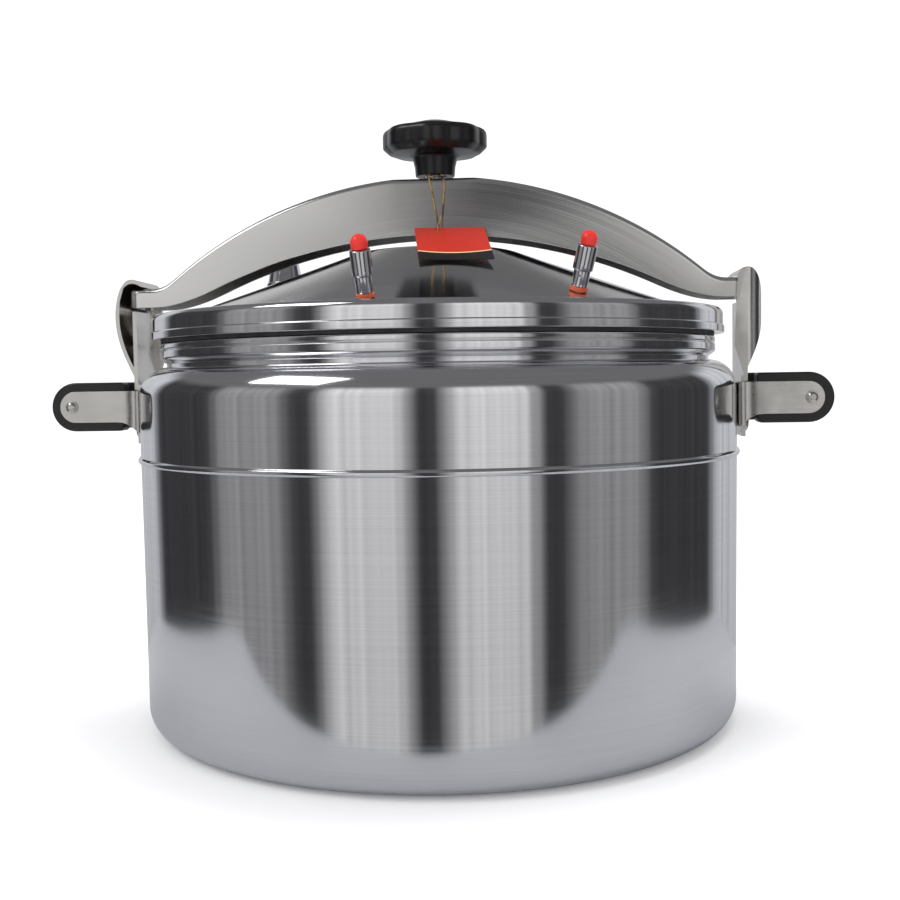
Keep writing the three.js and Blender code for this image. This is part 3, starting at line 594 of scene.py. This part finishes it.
# ---------------------------------------------------------------- lid
def make_lid():
    plateau_foot = lid.foot - (lid.plateau_z - lid.top) / lid.slope
    under = lid.plateau_z - lid.wall
    outer = [(0, lid.plateau_z), (lid.plateau, lid.plateau_z)]
    bend = ((lid.plateau, lid.plateau_z), (plateau_foot, lid.plateau_z), (lid.slope_end, flank_z(lid.slope_end)))
    outer += bezier(bend, 8)
    groove_in, groove_out, groove_top = 188, 204.5, 285
    edge = [
        (lid.slope_end, flank_z(lid.slope_end)), (lid.foot, lid.top, 14),
        (lid.radius, lid.top, lid.edge * 0.9),
        (lid.radius, lid.step + 0.6, 0.4), (lid.step_radius, lid.step, 0.4),
        (lid.step_radius, lid.bottom, 0.7),
        (groove_out, lid.bottom, 0.4), (groove_out, groove_top), (groove_in, groove_top),
        (groove_in, lid.bottom, 0.4),
        (lid.lip, lid.bottom, 0.5), (lid.lip, lid.lip_bottom, 0.8), (lid.inner, lid.lip_bottom, 0.8),
        (lid.inner, flank_z(lid.inner) - lid.wall - 1.5, 5),
        (lid.slope_end - 2, flank_z(lid.slope_end) - lid.wall, 12),
        (lid.plateau - 4, under),
    ]
    profile = outer + rounded(edge, closed=False, steps=8)[1:] + [(0, under)]
    shell = lathe(profile, ROUND)
    inside_wall = 304
    boss = lathe(rounded([(0, inside_wall), (vent.pad_radius, inside_wall), (vent.pad_radius, vent.pad_top, 1.2),
                          (0, vent.pad_top)],
                         closed=False), SMALL)
    piece("lid_shell", join(shell, moved(boss, Matrix.Translation((vent.x, vent.y, 0)))), "polished_lid")


# ---------------------------------------------------------------- clamp beam
def beam_edges():
    """The beam's upper and lower edges from the middle to the right tip, as lists of (x, z)."""
    def on_arc(top, radius, x):
        return top - radius + math.sqrt(radius * radius - x * x)

    arc_top = 399.5
    upper = [(0, beam.top_z), (beam.top_flat, beam.top_z)]
    span = beam.top_arc_end - beam.top_flat
    upper += [(beam.top_flat + span * i / 40, on_arc(arc_top, beam.top_arc, beam.top_flat + span * i / 40))
              for i in range(1, 41)]
    upper += bezier((upper[-1], (204, beam.tip_top), (beam.tip_inner, beam.tip_top)), 14)
    upper.append((beam.reach, beam.tip_top))
    reaches = [beam.low_arc_end * i / 40 for i in range(41)]
    lower = [(reach, on_arc(beam.low_z, beam.low_arc, reach)) for reach in reaches]
    lower += bezier((lower[-1], (192.6, beam.tip_low), (beam.tip_inner, beam.tip_low)), 18)
    lower.append((beam.reach, beam.tip_low))
    return upper, lower


def channel_section(x, upper, lower, inset):
    """One cross-section of the beam's outer skin, or of its inner skin when inset is the sheet."""
    top = height_on(upper, abs(x)) - inset
    low = height_on(lower, abs(x))
    round_from, radius = beam.reach - beam.corner, beam.corner - inset
    past = max(abs(x) - round_from, 0)
    half = beam.half - beam.corner + math.sqrt(max(radius * radius - past * past, 0))
    fold = max(beam.fold - inset, 1.5)
    corners = [(-half, low), (-half, top, fold), (half, top, fold), (half, low)]
    return [(x, y, z) for y, z in rounded(corners, closed=False, steps=7)]


def beam_stations():
    """Places along the beam for its cross-sections, closer together at the rounded tips."""
    bend = beam.reach - beam.corner
    middle = [-bend + 2 * bend * i / 150 for i in range(151)]
    tip = [bend + beam.corner * math.sin(math.pi / 2 * i / 12) for i in range(1, 13)]
    return [-x for x in reversed(tip)] + middle + tip


def make_beam():
    upper, lower = beam_edges()
    stations = beam_stations()
    inner_reach = beam.reach - beam.sheet
    bm = bmesh.new()
    skins = []
    for inset, reach in ((0, beam.reach), (beam.sheet, inner_reach)):
        places = [max(-reach, min(reach, x)) for x in stations]
        rows = [[bm.verts.new(p) for p in channel_section(x, upper, lower, inset)] for x in places]
        for a, b in zip(rows, rows[1:]):
            for k in range(len(a) - 1):
                bm.faces.new((a[k], a[k + 1], b[k + 1], b[k]))
        bm.faces.new(rows[0])
        bm.faces.new(rows[-1])
        skins.append(rows)
    outer, inner = skins
    for edge in (0, -1):
        for i in range(len(stations) - 1):
            bm.faces.new((outer[i][edge], outer[i + 1][edge], inner[i + 1][edge], inner[i][edge]))
    for end in (0, -1):
        bm.faces.new((outer[end][0], outer[end][-1], inner[end][-1], inner[end][0]))
    hole = disc(screw.radius + 0.6, beam.top_z - 10, beam.top_z + 5)
    arch_centre = 94.5
    shell = moved(cut(bm, hole), Matrix.Translation((0, 0, -arch_centre)))
    piece("clamp_beam", shell, "beam_aluminium", upright(0, 0, arch_centre), bevel=0.5, bevel_steps=2)
    bush_top = beam.top_z - beam.sheet - GAP
    piece("beam_bush", ring(screw.radius + 0.35, 14, 372, bush_top, 0.6), "stainless")


# ---------------------------------------------------------------- ears
def ear_form():
    """The right ear's outline in the XZ plane: web, outward bulge and arched hood."""
    inward = ear.web - ear.sheet
    points = [(inward, 246), (ear.web, 246), (ear.web, ear.low)]
    points += bezier((points[-1], (232, 268), (ear.bulge, 282), (ear.bulge, ear.bulge_z)), 20)
    points += bezier((points[-1], (ear.bulge, 316), (234, ear.top), (227, ear.top)), 20)
    points += bezier((points[-1], (ear.hood + 1, ear.top), (ear.hood, ear.hood_under)), 10)
    return points + [(217, 272), (inward, 252)]


def ear_hollows():
    """The outlines of the hollow in the bulge and of the beam's arched seat, which meet."""
    inside = ear.bulge - ear.sheet
    bulge = [(ear.web, ear.ledge + 1), (ear.web, 263)]
    bulge += bezier((bulge[-1], (231, 272), (inside, 285), (inside, ear.bulge_z)), 16)
    bulge += [(inside, ear.ledge + 1)]
    seat = [(215, ear.ledge), (inside, ear.ledge), (inside - 0.6, 312), (inside - 3.6, ear.hood_under)]
    seat += bezier((seat[-1], (227, 328.6), (218, ear.hood_under - 0.2)), 12)
    return bulge, seat + [(215, ear.hood_under - 0.2)]


def ear_plan(inset):
    """Plan of the right ear, whose closed side bends round into the bulge."""
    across, along = ear.bulge - ear.web - inset, ear.half + ear.bend_y - inset
    bend = [math.pi / 2 * i / 16 for i in range(17)]
    corner = [(ear.web + across * math.sin(a), ear.bend_y - along * math.cos(a)) for a in bend]
    open_y = ear.half + 1
    return [(200, inset - ear.half), *corner, (ear.bulge - inset, open_y), (200, open_y)]


def ear_shape():
    plate = [(ear.base_inner, ear.base_low), (ear.base_inner + ear.sheet, ear.base_low),
             (ear.base_inner + ear.sheet, 250), (ear.base_inner, 250)]
    base = combined("INTERSECT", lathe(plate, ROUND), block(200, 240, -ear.half, ear.half, 200, 260))
    wall, open_y = ear.sheet - ear.half, ear.half + 1
    below, above = 200, 340
    plan = prism(ear_plan(0), below, above, "XY")
    outside = combined("INTERSECT", prism(ear_form(), -ear.half, ear.half), plan)
    bulge, seat = ear_hollows()
    room = join(prism(bulge, wall, open_y), prism(seat, wall, open_y))
    room = combined("INTERSECT", room, prism(ear_plan(ear.sheet), below, above, "XY"))
    behind = block(215, ear.web - ear.sheet, wall, open_y, 240, ear.ledge + 1)
    return join(base, cut(outside, room, behind))


def make_ears():
    for name, angle in SIDES:
        piece(f"ear_{name}", moved(ear_shape(), turned_side(angle)), "stainless", bevel=0.8)


def rivet_shape():
    inside = pot.radius - pot.wall - 0.7
    outside = ear.base_inner + ear.sheet + 0.4

    def head(start, sign):
        return [(rivet.head * math.cos(math.radians(a)), start + sign * rivet.height * math.sin(math.radians(a)))
                for a in range(0, 91, 10)]

    inner_head = [(0 if r < 1e-6 else r, z) for r, z in reversed(head(inside, -1))]
    outer_head = [(0 if r < 1e-6 else r, z) for r, z in head(outside, 1)]
    return lathe(inner_head + [(rivet.shank, inside), (rivet.shank, outside)] + outer_head, 32)


def make_rivets():
    lying = Matrix.Rotation(math.pi / 2, 4, "Y")
    for name, angle in SIDES:
        places = [(z, column) for z in rivet.rows for column in (-1, 1)]
        for i, (z, column) in enumerate(places, 1):
            turn = Matrix.Rotation(angle + math.radians(column * rivet.angle), 4, "Z")
            piece(f"ear_rivet_{name}_{i}", rivet_shape(), "stainless", upright(0, 0, z) @ turn @ lying)


# ---------------------------------------------------------------- carrying handles
def strap_path():
    """The strap's centre line in plan, from the front arm's tip round the pot's side to the back arm's."""
    arm_y = strap.outer_y - strap.sheet / 2
    radius = strap.inner + strap.sheet / 2
    bend = math.radians(9.0)
    seat = (radius * math.cos(bend), radius * math.sin(bend))
    tip = strap.end - 0.02
    arm = [(tip - 11.4 * (1 - math.cos(math.radians(9 * i))), arm_y) for i in range(10)]
    arm += [(tip - 11.4 - 3.9 * i, arm_y) for i in range(1, 10)]
    arm += bezier((arm[-1], (218.5, arm_y), seat), 12)
    around = arc(0, 0, radius, 9.0, -9.0, 24)[1:-1]
    return [(x, -y) for x, y in arm] + [(x, -y) for x, y in around] + list(reversed(arm))


def strap_heights(x):
    """The strap's lower and upper edge there: a round end, a level arm and a deeper base."""
    half = (strap.high - strap.low) / 2
    middle = (strap.high + strap.low) / 2
    past = x - (strap.end - half)
    if past > 0:
        reach = math.sqrt(max(half * half - past * past, 0.04))
        return middle - reach, middle + reach
    blend = min(max((234 - x) / 14, 0), 1)
    return strap.low - (strap.low - strap.base_low) * blend * blend, strap.high


def make_strap(name, angle):
    path = [Vector(p) for p in strap_path()]
    loops = []
    for i, here in enumerate(path):
        along = path[min(i + 1, len(path) - 1)] - path[max(i - 1, 0)]
        side = Vector((-along.y, along.x)).normalized() * strap.sheet / 2
        low, high = strap_heights(here.x)
        inner, outer = here + side, here - side
        loops.append([(*outer, low), (*outer, high), (*inner, high), (*inner, low)])
    shape = moved(loft(loops), turned_side(angle))
    piece(f"handle_strap_{name}", shape, "stainless", bevel=0.5, bevel_steps=2)


def grip_shape():
    half = strap.outer_y - strap.sheet - GAP
    finger = half - grip.cheek
    middle, radius = (grip.high + grip.low) / 2, (grip.high - grip.low) / 2
    round_end = arc(grip.outer - radius, middle, radius, -90, 90, 28)
    side = [(grip.inner, grip.low, 4), *round_end, (grip.inner, grip.high, 2)]
    gap = [(grip.inner - 5, -finger), (grip.bar, -finger, 8), (grip.bar, finger, 8), (grip.inner - 5, finger)]
    return cut(prism(rounded(side), -half, half), prism(rounded(gap), grip.low - 1, grip.high + 1, "XY"))


def arm_screw_shape():
    """Pan-head screw with a washer and a cross recess, standing on z=0."""
    shape = rounded([(0, -13), (2.5, -13), (2.5, 0), (arm_screw.head, 0, 0.3), (arm_screw.head, 0.8, 0.3),
                     (arm_screw.head - 0.8, 0.8), (arm_screw.head - 0.8, 1.8, 1.2), (2.2, 3.0, 2.0),
                     (0, 3.0)],
                    closed=False)
    arms = [block(-2.2, 2.2, -0.4, 0.4, 2.0, 5), block(-0.4, 0.4, -2.2, 2.2, 2.0, 5)]
    return cut(lathe(shape, 40), *arms)


def make_handles():
    for name, angle in SIDES:
        make_strap(name, angle)
        piece(f"handle_grip_{name}", moved(grip_shape(), turned_side(angle)), "bakelite", bevel=2.4, bevel_steps=5)
        across = arm_screw.x if name == "right" else -arm_screw.x
        for end, sign in (("front", -1), ("back", 1)):
            seat = upright(across, sign * (strap.outer_y + GAP), arm_screw.z)
            facing = Matrix.Rotation(-sign * math.pi / 2, 4, "X")
            piece(f"handle_screw_{name}_{end}", arm_screw_shape(), "stainless", seat @ facing)


# ---------------------------------------------------------------- relief valves and safety plug
def relief_shapes():
    """The pieces of one valve as (name, shape, slot), heights from the lid's face."""
    r = relief
    body = [
        (1.6, r.spigot_low), (4, r.spigot_low, 0.4), (4, r.seal_top + GAP),
        (r.body_radius, r.seal_top + GAP, 0.5),
        (r.body_radius, r.body_top, 0.5), (r.neck_radius, r.body_top), (r.neck_radius, r.neck_top, 0.3),
        (1.6, r.neck_top),
    ]
    inner, low = r.neck_radius + GAP, r.body_top + GAP
    sleeve = [
        (inner, low, 0.3), (r.sleeve_radius, low, 0.6), (r.sleeve_radius, r.sleeve_top, 1.3),
        (r.rod + GAP, r.sleeve_top, 0.3),
        (r.rod + GAP, r.sleeve_top - 2), (inner, r.sleeve_top - 2),
    ]
    cap_low = r.sleeve_top + GAP
    dome = arc(0, r.cap_middle, r.cap_radius, 0, 90, 14)[:-1]
    cap = rounded([(r.rod + GAP, cap_low), (r.cap_radius - 0.4, cap_low, 0.5), *dome,
                   (0, r.cap_middle + r.cap_radius),
                   (0, cap_low + 3.4), (r.rod + GAP, cap_low + 3.4)], closed=False)
    seal_side = rounded([(4.3, GAP), (r.seal_radius, GAP, 1.2), (r.seal_radius, r.seal_top, 1.2),
                         (4.3, r.seal_top)])
    holes = [moved(disc(0.9, 2, 8, 24), turn_down(a, r.body_top - 3)) for a in (-45, 135)]
    return [
        ("seal", lathe(seal_side), "orange_silicone"),
        ("body", cut(lathe(rounded(body)), *holes), "chrome"),
        ("sleeve", lathe(rounded(sleeve)), "chrome"),
        ("cap", lathe(cap), "red_cap"),
    ]


def turn_down(degrees, height):
    """Lays a shape that stands on Z down along a bearing, at a height."""
    return (Matrix.Translation((0, 0, height)) @ Matrix.Rotation(math.radians(degrees), 4, "Z")
            @ Matrix.Rotation(math.pi / 2, 4, "Y"))


def spring_ends():
    """The spring's lowest and highest points, between the plunger's disc and the sleeve's roof."""
    return relief.disc_top + GAP, relief.sleeve_top - relief.sleeve_roof - GAP


def spring_shape():
    """A coil of round wire."""
    wire, coil, turns, per_turn, sides = 0.4, 3.3, 5, 24, 10
    low, high = spring_ends()
    loops = []
    for i in range(turns * per_turn + 1):
        a = 2 * math.pi * i / per_turn
        out = Vector((math.cos(a), math.sin(a), 0))
        height = low + wire + (high - low - 2 * wire) * i / (turns * per_turn)
        middle = out * coil + Vector((0, 0, height))
        around = [2 * math.pi * k / sides for k in range(sides)]
        loops.append([middle + out * (wire * math.cos(b)) + Vector((0, 0, wire * math.sin(b))) for b in around])
    return loft(loops)


def make_relief_valves():
    for i, (x, y) in enumerate(relief_places, 1):
        place = on_flank(x, y)
        for name, shape, slot in relief_shapes():
            piece(f"relief_valve_{i}_{name}", shape, slot, place)
        spring = piece(f"relief_valve_{i}_spring", spring_shape(), "stainless", place)
        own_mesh(spring)


def make_safety_plug():
    low = 1.8 + GAP
    place = on_flank(*plug_place)
    hex_top = cut(join(hexagon(19, low, low + 6), disc(6.2, low + 5, low + 11), disc(5, -13, low + 1)),
                  disc(2, -14, low + 8))
    piece("safety_plug", hex_top, "brass", place, bevel=0.6)
    piece("safety_plug_washer", ring(5.4, 9.4, GAP, 1.8), "orange_silicone", place)


# ---------------------------------------------------------------- vent pipe and weight
def make_vent():
    place = upright(vent.x, vent.y)
    low = nozzle.washer_top + GAP
    pipe = join(hexagon(17, low, nozzle.flange_top), disc(4, nozzle.low, low + 1),
                disc(nozzle.radius, nozzle.flange_top - 1, nozzle.top))
    piece("vent_pipe", cut(pipe, disc(1.5, nozzle.low - 1, nozzle.top + 1)), "brass", place, bevel=0.5)
    piece("vent_washer", ring(4.4, 9, vent.pad_top + GAP, nozzle.washer_top), "orange_silicone", place)
    piece("vent_weight", weight_shape(), "chrome", place)


def weight_shape():
    """A bell-shaped weight with a flared skirt, a steam hole near its top and a bore for the pipe."""
    low, bore = 327.5, nozzle.radius + 0.4
    side = [
        (bore, nozzle.top + GAP), (bore, low + 8, 0.5), (10, low + 8, 1), (12.6, low, 0.3), (15, low, 0.7),
        (15, low + 2.6, 0.8), (14.0, low + 3.4, 0.6), (9.9, low + 25.5, 1.5), (8.8, low + 28, 1.2),
        (5, low + 30, 3),
        (0, low + 30.5), (0, nozzle.top + GAP),
    ]
    steam_holes = [moved(disc(1.1, 6, 16, 24), turn_down(a, low + 22)) for a in (-78, 12, 102, 192)]
    return cut(lathe(rounded(side, closed=False)), *steam_holes)


# ---------------------------------------------------------------- clamp screw, foot and knob
def make_screw():
    thread_low, thread_high = foot.top + 5, knob.stem_low + 8
    turns = 12

    def profile():
        points = [(0, screw.low), (screw.spigot - 1, screw.low), (screw.spigot, screw.low + 1),
                  (screw.spigot, screw.groove_z),
                  (4.4, screw.groove_z), (4.4, screw.groove_z + 4), (screw.spigot, screw.groove_z + 4),
                  (screw.spigot, foot.top + 3)]
        rows = round((thread_high - thread_low) / screw.pitch * turns)
        points += [(screw.radius, thread_low + (thread_high - thread_low) * i / rows) for i in range(rows + 1)]
        return points + [(screw.spigot, thread_high + 2), (screw.spigot, screw.top), (0, screw.top)]

    def thread(angle, height, radius):
        if radius < screw.radius:
            return 0
        share = (height / screw.pitch - angle / (2 * math.pi)) % 1
        fade = min(1, (height - thread_low) / 2, (thread_high - height) / 2)
        return -1.5 * fade * abs(2 * share - 1)

    piece("clamp_screw", lathe(profile(), SMALL, thread), "stainless")


def make_foot():
    pad = rounded([
        (0, foot.low), (foot.radius, foot.low, 1), (foot.radius, foot.low + 3.4, 1),
        (13, foot.low + 5.4, 1.5),
        (13, foot.top, 0.8), (0, foot.top),
    ], closed=False)
    socket = disc(screw.spigot + 0.4, screw.low - 0.5, foot.top + 1)
    pins = [moved(disc(1.6, 5, 15, 24), turn_down(a, screw.groove_z + 2)) for a in (90, -90)]
    piece("pressure_foot", cut(lathe(pad), socket, *pins), "stainless")


def make_knob():
    """A lobed hand knob with a crowned top on a stem that flares into it."""
    lobed_from = 24

    def swell(angle, height, radius):
        if radius < lobed_from:
            return 0
        share = min(1, (radius - lobed_from) / (knob.radius - lobed_from))
        wave = 0.5 + 0.5 * math.cos(knob.lobes * angle)
        return -knob.depth * share * (1 - wave ** 0.7)

    profile = rounded([
        (screw.radius + 0.4, knob.stem_low, 0.3), (14.6, knob.stem_low, 0.8), (15.2, knob.low - 8),
        (17, knob.low - 1, 3),
        (20, knob.low, 1.5), (knob.radius - 5, knob.low + 1.5, 4), (knob.radius, knob.low + 6, 3),
        (knob.radius, knob.top, 5.5), (29, knob.top + 1.6, 12),
        (11, knob.crown - 0.5, 12), (0, knob.crown), (0, screw.top + 0.4),
        (screw.spigot + 0.4, screw.top + 0.4),
        (screw.spigot + 0.4, knob.stem_low + 10.4), (screw.radius + 0.4, knob.stem_low + 8.4),
    ], steps=8)
    piece("knob", lathe(profile, ROUND, swell), "bakelite")


# ---------------------------------------------------------------- hang tag and its string
def tag_slope():
    return math.atan2(tag.top_z - tag.bottom_z, tag.top_y - tag.bottom_y)


def tag_length():
    return math.hypot(tag.top_z - tag.bottom_z, tag.top_y - tag.bottom_y)


def make_tag():
    low = tag.hole_drop - tag_length()
    corner = 1.2
    outline = rounded([(tag.left, low, corner), (tag.right, low, corner), (tag.right, tag.hole_drop, corner),
                       (tag.left, tag.hole_drop, corner)])
    card = cut(prism(outline, 0, tag.thick, "XY"), disc(tag.hole, -1, 2))
    place = (upright(tag.x, tag.top_y, tag.top_z) @ Matrix.Rotation(tag_slope(), 4, "X")
             @ upright(0, -tag.hole_drop) @ Matrix.Rotation(math.radians(tag.turn), 4, "Z")
             @ Matrix.Rotation(math.radians(tag.roll), 4, "Y"))
    piece("hang_tag", card, "tag_card", place, bevel=0.15, bevel_steps=2)


# From the left of the knob's stem over the beam's front edge, through the tag's hole from behind,
# and back up to the right of the stem.
STRING_ROUTE = (
    (-3.0, -16.2, 401.2), (-3.2, -18.5, 400.2), (-3.2, -21.6, 399.8), (-3.0, -23.3, 398.6),
    (-2.4, -23.8, 395.5),
    (-0.6, -24.0, 387), (1.6, -24.8, 374), (3.0, -26.8, 364.5), (3.6, -28.2, 359.8), (3.9, -30.6, 356.6),
    (4.0, -33.4, 356.2), (4.0, -34.8, 358.5), (4.1, -35.4, 361.0), (4.5, -34.2, 363.2), (5.2, -30.6, 365.6),
    (6.0, -27.4, 369.6), (7.2, -24.9, 378), (8.2, -24.0, 388), (8.2, -23.8, 395.5), (8.0, -23.3, 398.6),
    (7.4, -21.6, 399.8), (6.4, -18.4, 400.2), (5.4, -15.8, 401.2),
)


def through(points, steps=8):
    """A smooth curve through the points, as a dense polyline."""
    points = [Vector(p) for p in points]
    ends = [points[0] * 2 - points[1], *points, points[-1] * 2 - points[-2]]
    line = [points[0]]
    for a, b, c, d in zip(ends, ends[1:], ends[2:], ends[3:]):
        for i in range(1, steps + 1):
            t = i / steps
            line.append(0.5 * (2 * b + (c - a) * t + (2 * a - 5 * b + 4 * c - d) * t ** 2
                               + (3 * b - a - 3 * c + d) * t ** 3))
    return line


def make_string():
    line = [p * MM for p in through(STRING_ROUTE)]
    data = bpy.data.curves.new("tag_string_fine", "CURVE")
    data.dimensions = "3D"
    data.bevel_depth = STRING_RADIUS * MM
    data.bevel_resolution = 4
    data.use_fill_caps = True
    spline = data.splines.new("POLY")
    spline.points.add(len(line) - 1)
    for point, place in zip(spline.points, line):
        point.co = (*place, 1.0)
    data.materials.append(finishes["gold_cord"])
    string = bpy.data.objects.new("tag_string_fine", data)
    bpy.context.scene.collection.objects.link(string)
    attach(string, "beam")
    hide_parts("tag_string")


# ---------------------------------------------------------------- CAD nodes that stay
def finish_cad_nodes():
    """Gives the CAD nodes that aren't replaced the material of their slot in the record."""
    slots = {part["node"]: part["material_slot"] for part in frame["record"]["subparts"]}
    for name, node in frame["nodes"].items():
        if not node.hide_render:
            node.data.materials.clear()
            node.data.materials.append(finishes[slots[name]])


# ---------------------------------------------------------------- studio, floor and lights
# The metal mirrors a plain studio: evenly spaced white panels with dark flags between them, and a pale
# backdrop behind. Bearings and widths are in degrees from the front; whites are display values.
studio = SimpleNamespace(spacing=46, half_width=11, fade=9, whites=(150, 220, 220, 150), flags_to=122)
BACKDROP = srgb(198, 200, 204)
FLAG = srgb(62, 62, 64)
CEILING = srgb(110, 110, 112)


def studio_stops():
    """The studio's brightness by bearing, from behind on the left round to behind on the right."""
    fade, ends = studio.fade, studio.flags_to
    stops = [(-180, BACKDROP), (-ends - fade, BACKDROP), (-ends, FLAG)]
    first = -studio.spacing * (len(studio.whites) - 1) / 2
    for i, white in enumerate(studio.whites):
        middle = first + studio.spacing * i
        near, far = middle - studio.half_width, middle + studio.half_width
        panel = srgb(white, white, white)
        stops += [(near - fade, FLAG), (near, panel), (far, panel), (far + fade, FLAG)]
    stops += [(ends, FLAG), (ends + fade, BACKDROP), (180, BACKDROP)]
    return [((bearing + 180) / 360, colour) for bearing, colour in stops]


def make_world():
    """Soft white light for matt surfaces, white for the camera, and the studio for reflections."""
    world = bpy.data.worlds.new("studio")
    bpy.context.scene.world = world
    world.use_nodes = True
    world.cycles.sampling_method = "NONE"
    graph = Graph(world.node_tree)
    background = world.node_tree.nodes["Background"]
    direction = graph.add("TexCoord").outputs["Generated"]
    split = graph.add("SeparateXYZ", {"Vector": direction})
    x, y, z = (split.outputs[axis] for axis in "XYZ")
    bearing = graph.math("ARCTAN2", x, graph.math("MULTIPLY", y, -1.0))
    share = graph.between(bearing, -math.pi, math.pi)
    panels = graph.ramp(share, studio_stops())
    elevation = graph.math("ARCSINE", z)
    degree = math.radians(1)
    folds = graph.add("TexNoise", {"W": graph.math("MULTIPLY", bearing, 22.0), "Scale": 1.0, "Detail": 4.0},
                      noise_dimensions="1D").outputs["Fac"]
    folds = graph.between(folds, 0.3, 0.7, 0.76, 1.16)
    height = graph.between(elevation, -15 * degree, 15 * degree, 0.8, 1.15)
    gain = graph.math("MULTIPLY", folds, height)
    panels = graph.add("VectorMath", {0: panels, 3: gain}, operation="SCALE").outputs[0]
    panels = graph.mix(graph.between(elevation, 20 * degree, 30 * degree, smooth=True), panels, CEILING)
    path = graph.add("LightPath")
    white = (1.0, 1.0, 1.0, 1.0)
    colour = graph.mix(path.outputs["Is Glossy Ray"], white, panels)
    world.node_tree.links.new(colour, background.inputs["Color"])
    background.inputs["Strength"].default_value = 1.0


def stage_object(name, bm, colour, roughness, glow=0.0):
    obj = plain_object(moved(bm, Matrix.Scale(MM, 4)))
    obj.name = name
    for face in obj.data.polygons:
        face.use_smooth = True
    finish = Finish(name, colour, roughness)
    mottle = finish.noise(6, 3.0)
    dimmer = tuple(channel * 0.98 for channel in colour[:3]) + (1.0,)
    finish.vary_colour(mottle, dimmer, colour)
    finish.shader.inputs["Emission Color"].default_value = colour
    finish.shader.inputs["Emission Strength"].default_value = glow
    obj.data.materials.append(finish.material)
    return obj


# The floor lies just below the canner, mm.
FLOOR_TOP = -0.5
# The part of the floor that the metal mirrors: a rounded rectangle in plan, mm, under the canner.
mirrored = SimpleNamespace(half_width=540, front=-300, back=200, corner=80)


def make_floor():
    """A pale floor that sweeps up all round, and the near part of it that shows in reflections."""
    reach, rise, top, under, thick = 3600, 900, 3200, -3, 10
    sweep = rounded([(0, FLOOR_TOP), (reach, FLOOR_TOP, rise), (reach, top), (reach + thick, top),
                     (reach + thick, under, rise), (0, under)], closed=False, steps=16)
    floor = stage_object("floor", lathe(sweep, 96), srgb(246, 246, 247), 0.7, glow=0.14)
    floor.visible_glossy = False
    m = mirrored
    outline = rounded([(-m.half_width, m.front, m.corner), (m.half_width, m.front, m.corner),
                       (m.half_width, m.back, m.corner), (-m.half_width, m.back, m.corner)])
    near_floor = stage_object("near_floor", prism(outline, -0.4, -0.2, "XY"), srgb(176, 178, 182), 0.6)
    near_floor.visible_camera = False
    near_floor.visible_diffuse = False
    near_floor.visible_shadow = False


def add_softbox(name, place, target, size, power, colour=(1.0, 1.0, 1.0)):
    light = bpy.data.lights.new(name, "AREA")
    light.shape = "RECTANGLE"
    light.size, light.size_y = size
    light.energy = power
    light.color = colour
    box = bpy.data.objects.new(name, light)
    bpy.context.scene.collection.objects.link(box)
    facing = (Vector(target) - Vector(place)).to_track_quat("-Z", "Y").to_matrix().to_4x4()
    box.matrix_world = Matrix.Translation(place) @ facing
    return box


def make_lights():
    middle = (0, 0, 0.3)
    add_softbox("key", (-1.62, -0.95, 2.1), middle, (1.3, 0.9), 13)
    top = add_softbox("top", (0.3, 0.4, 2.3), middle, (1.4, 1.0), 26)
    top.visible_glossy = False
    bpy.context.scene.view_settings.view_transform = "Standard"


# ---------------------------------------------------------------- assembly
make_camera()
finishes = make_finishes()
make_string()
make_tag()
make_pot()
make_lid()
make_beam()
make_ears()
make_rivets()
make_handles()
make_relief_valves()
make_safety_plug()
make_vent()
make_screw()
make_foot()
make_knob()
finish_cad_nodes()
make_world()
make_floor()
make_lights()
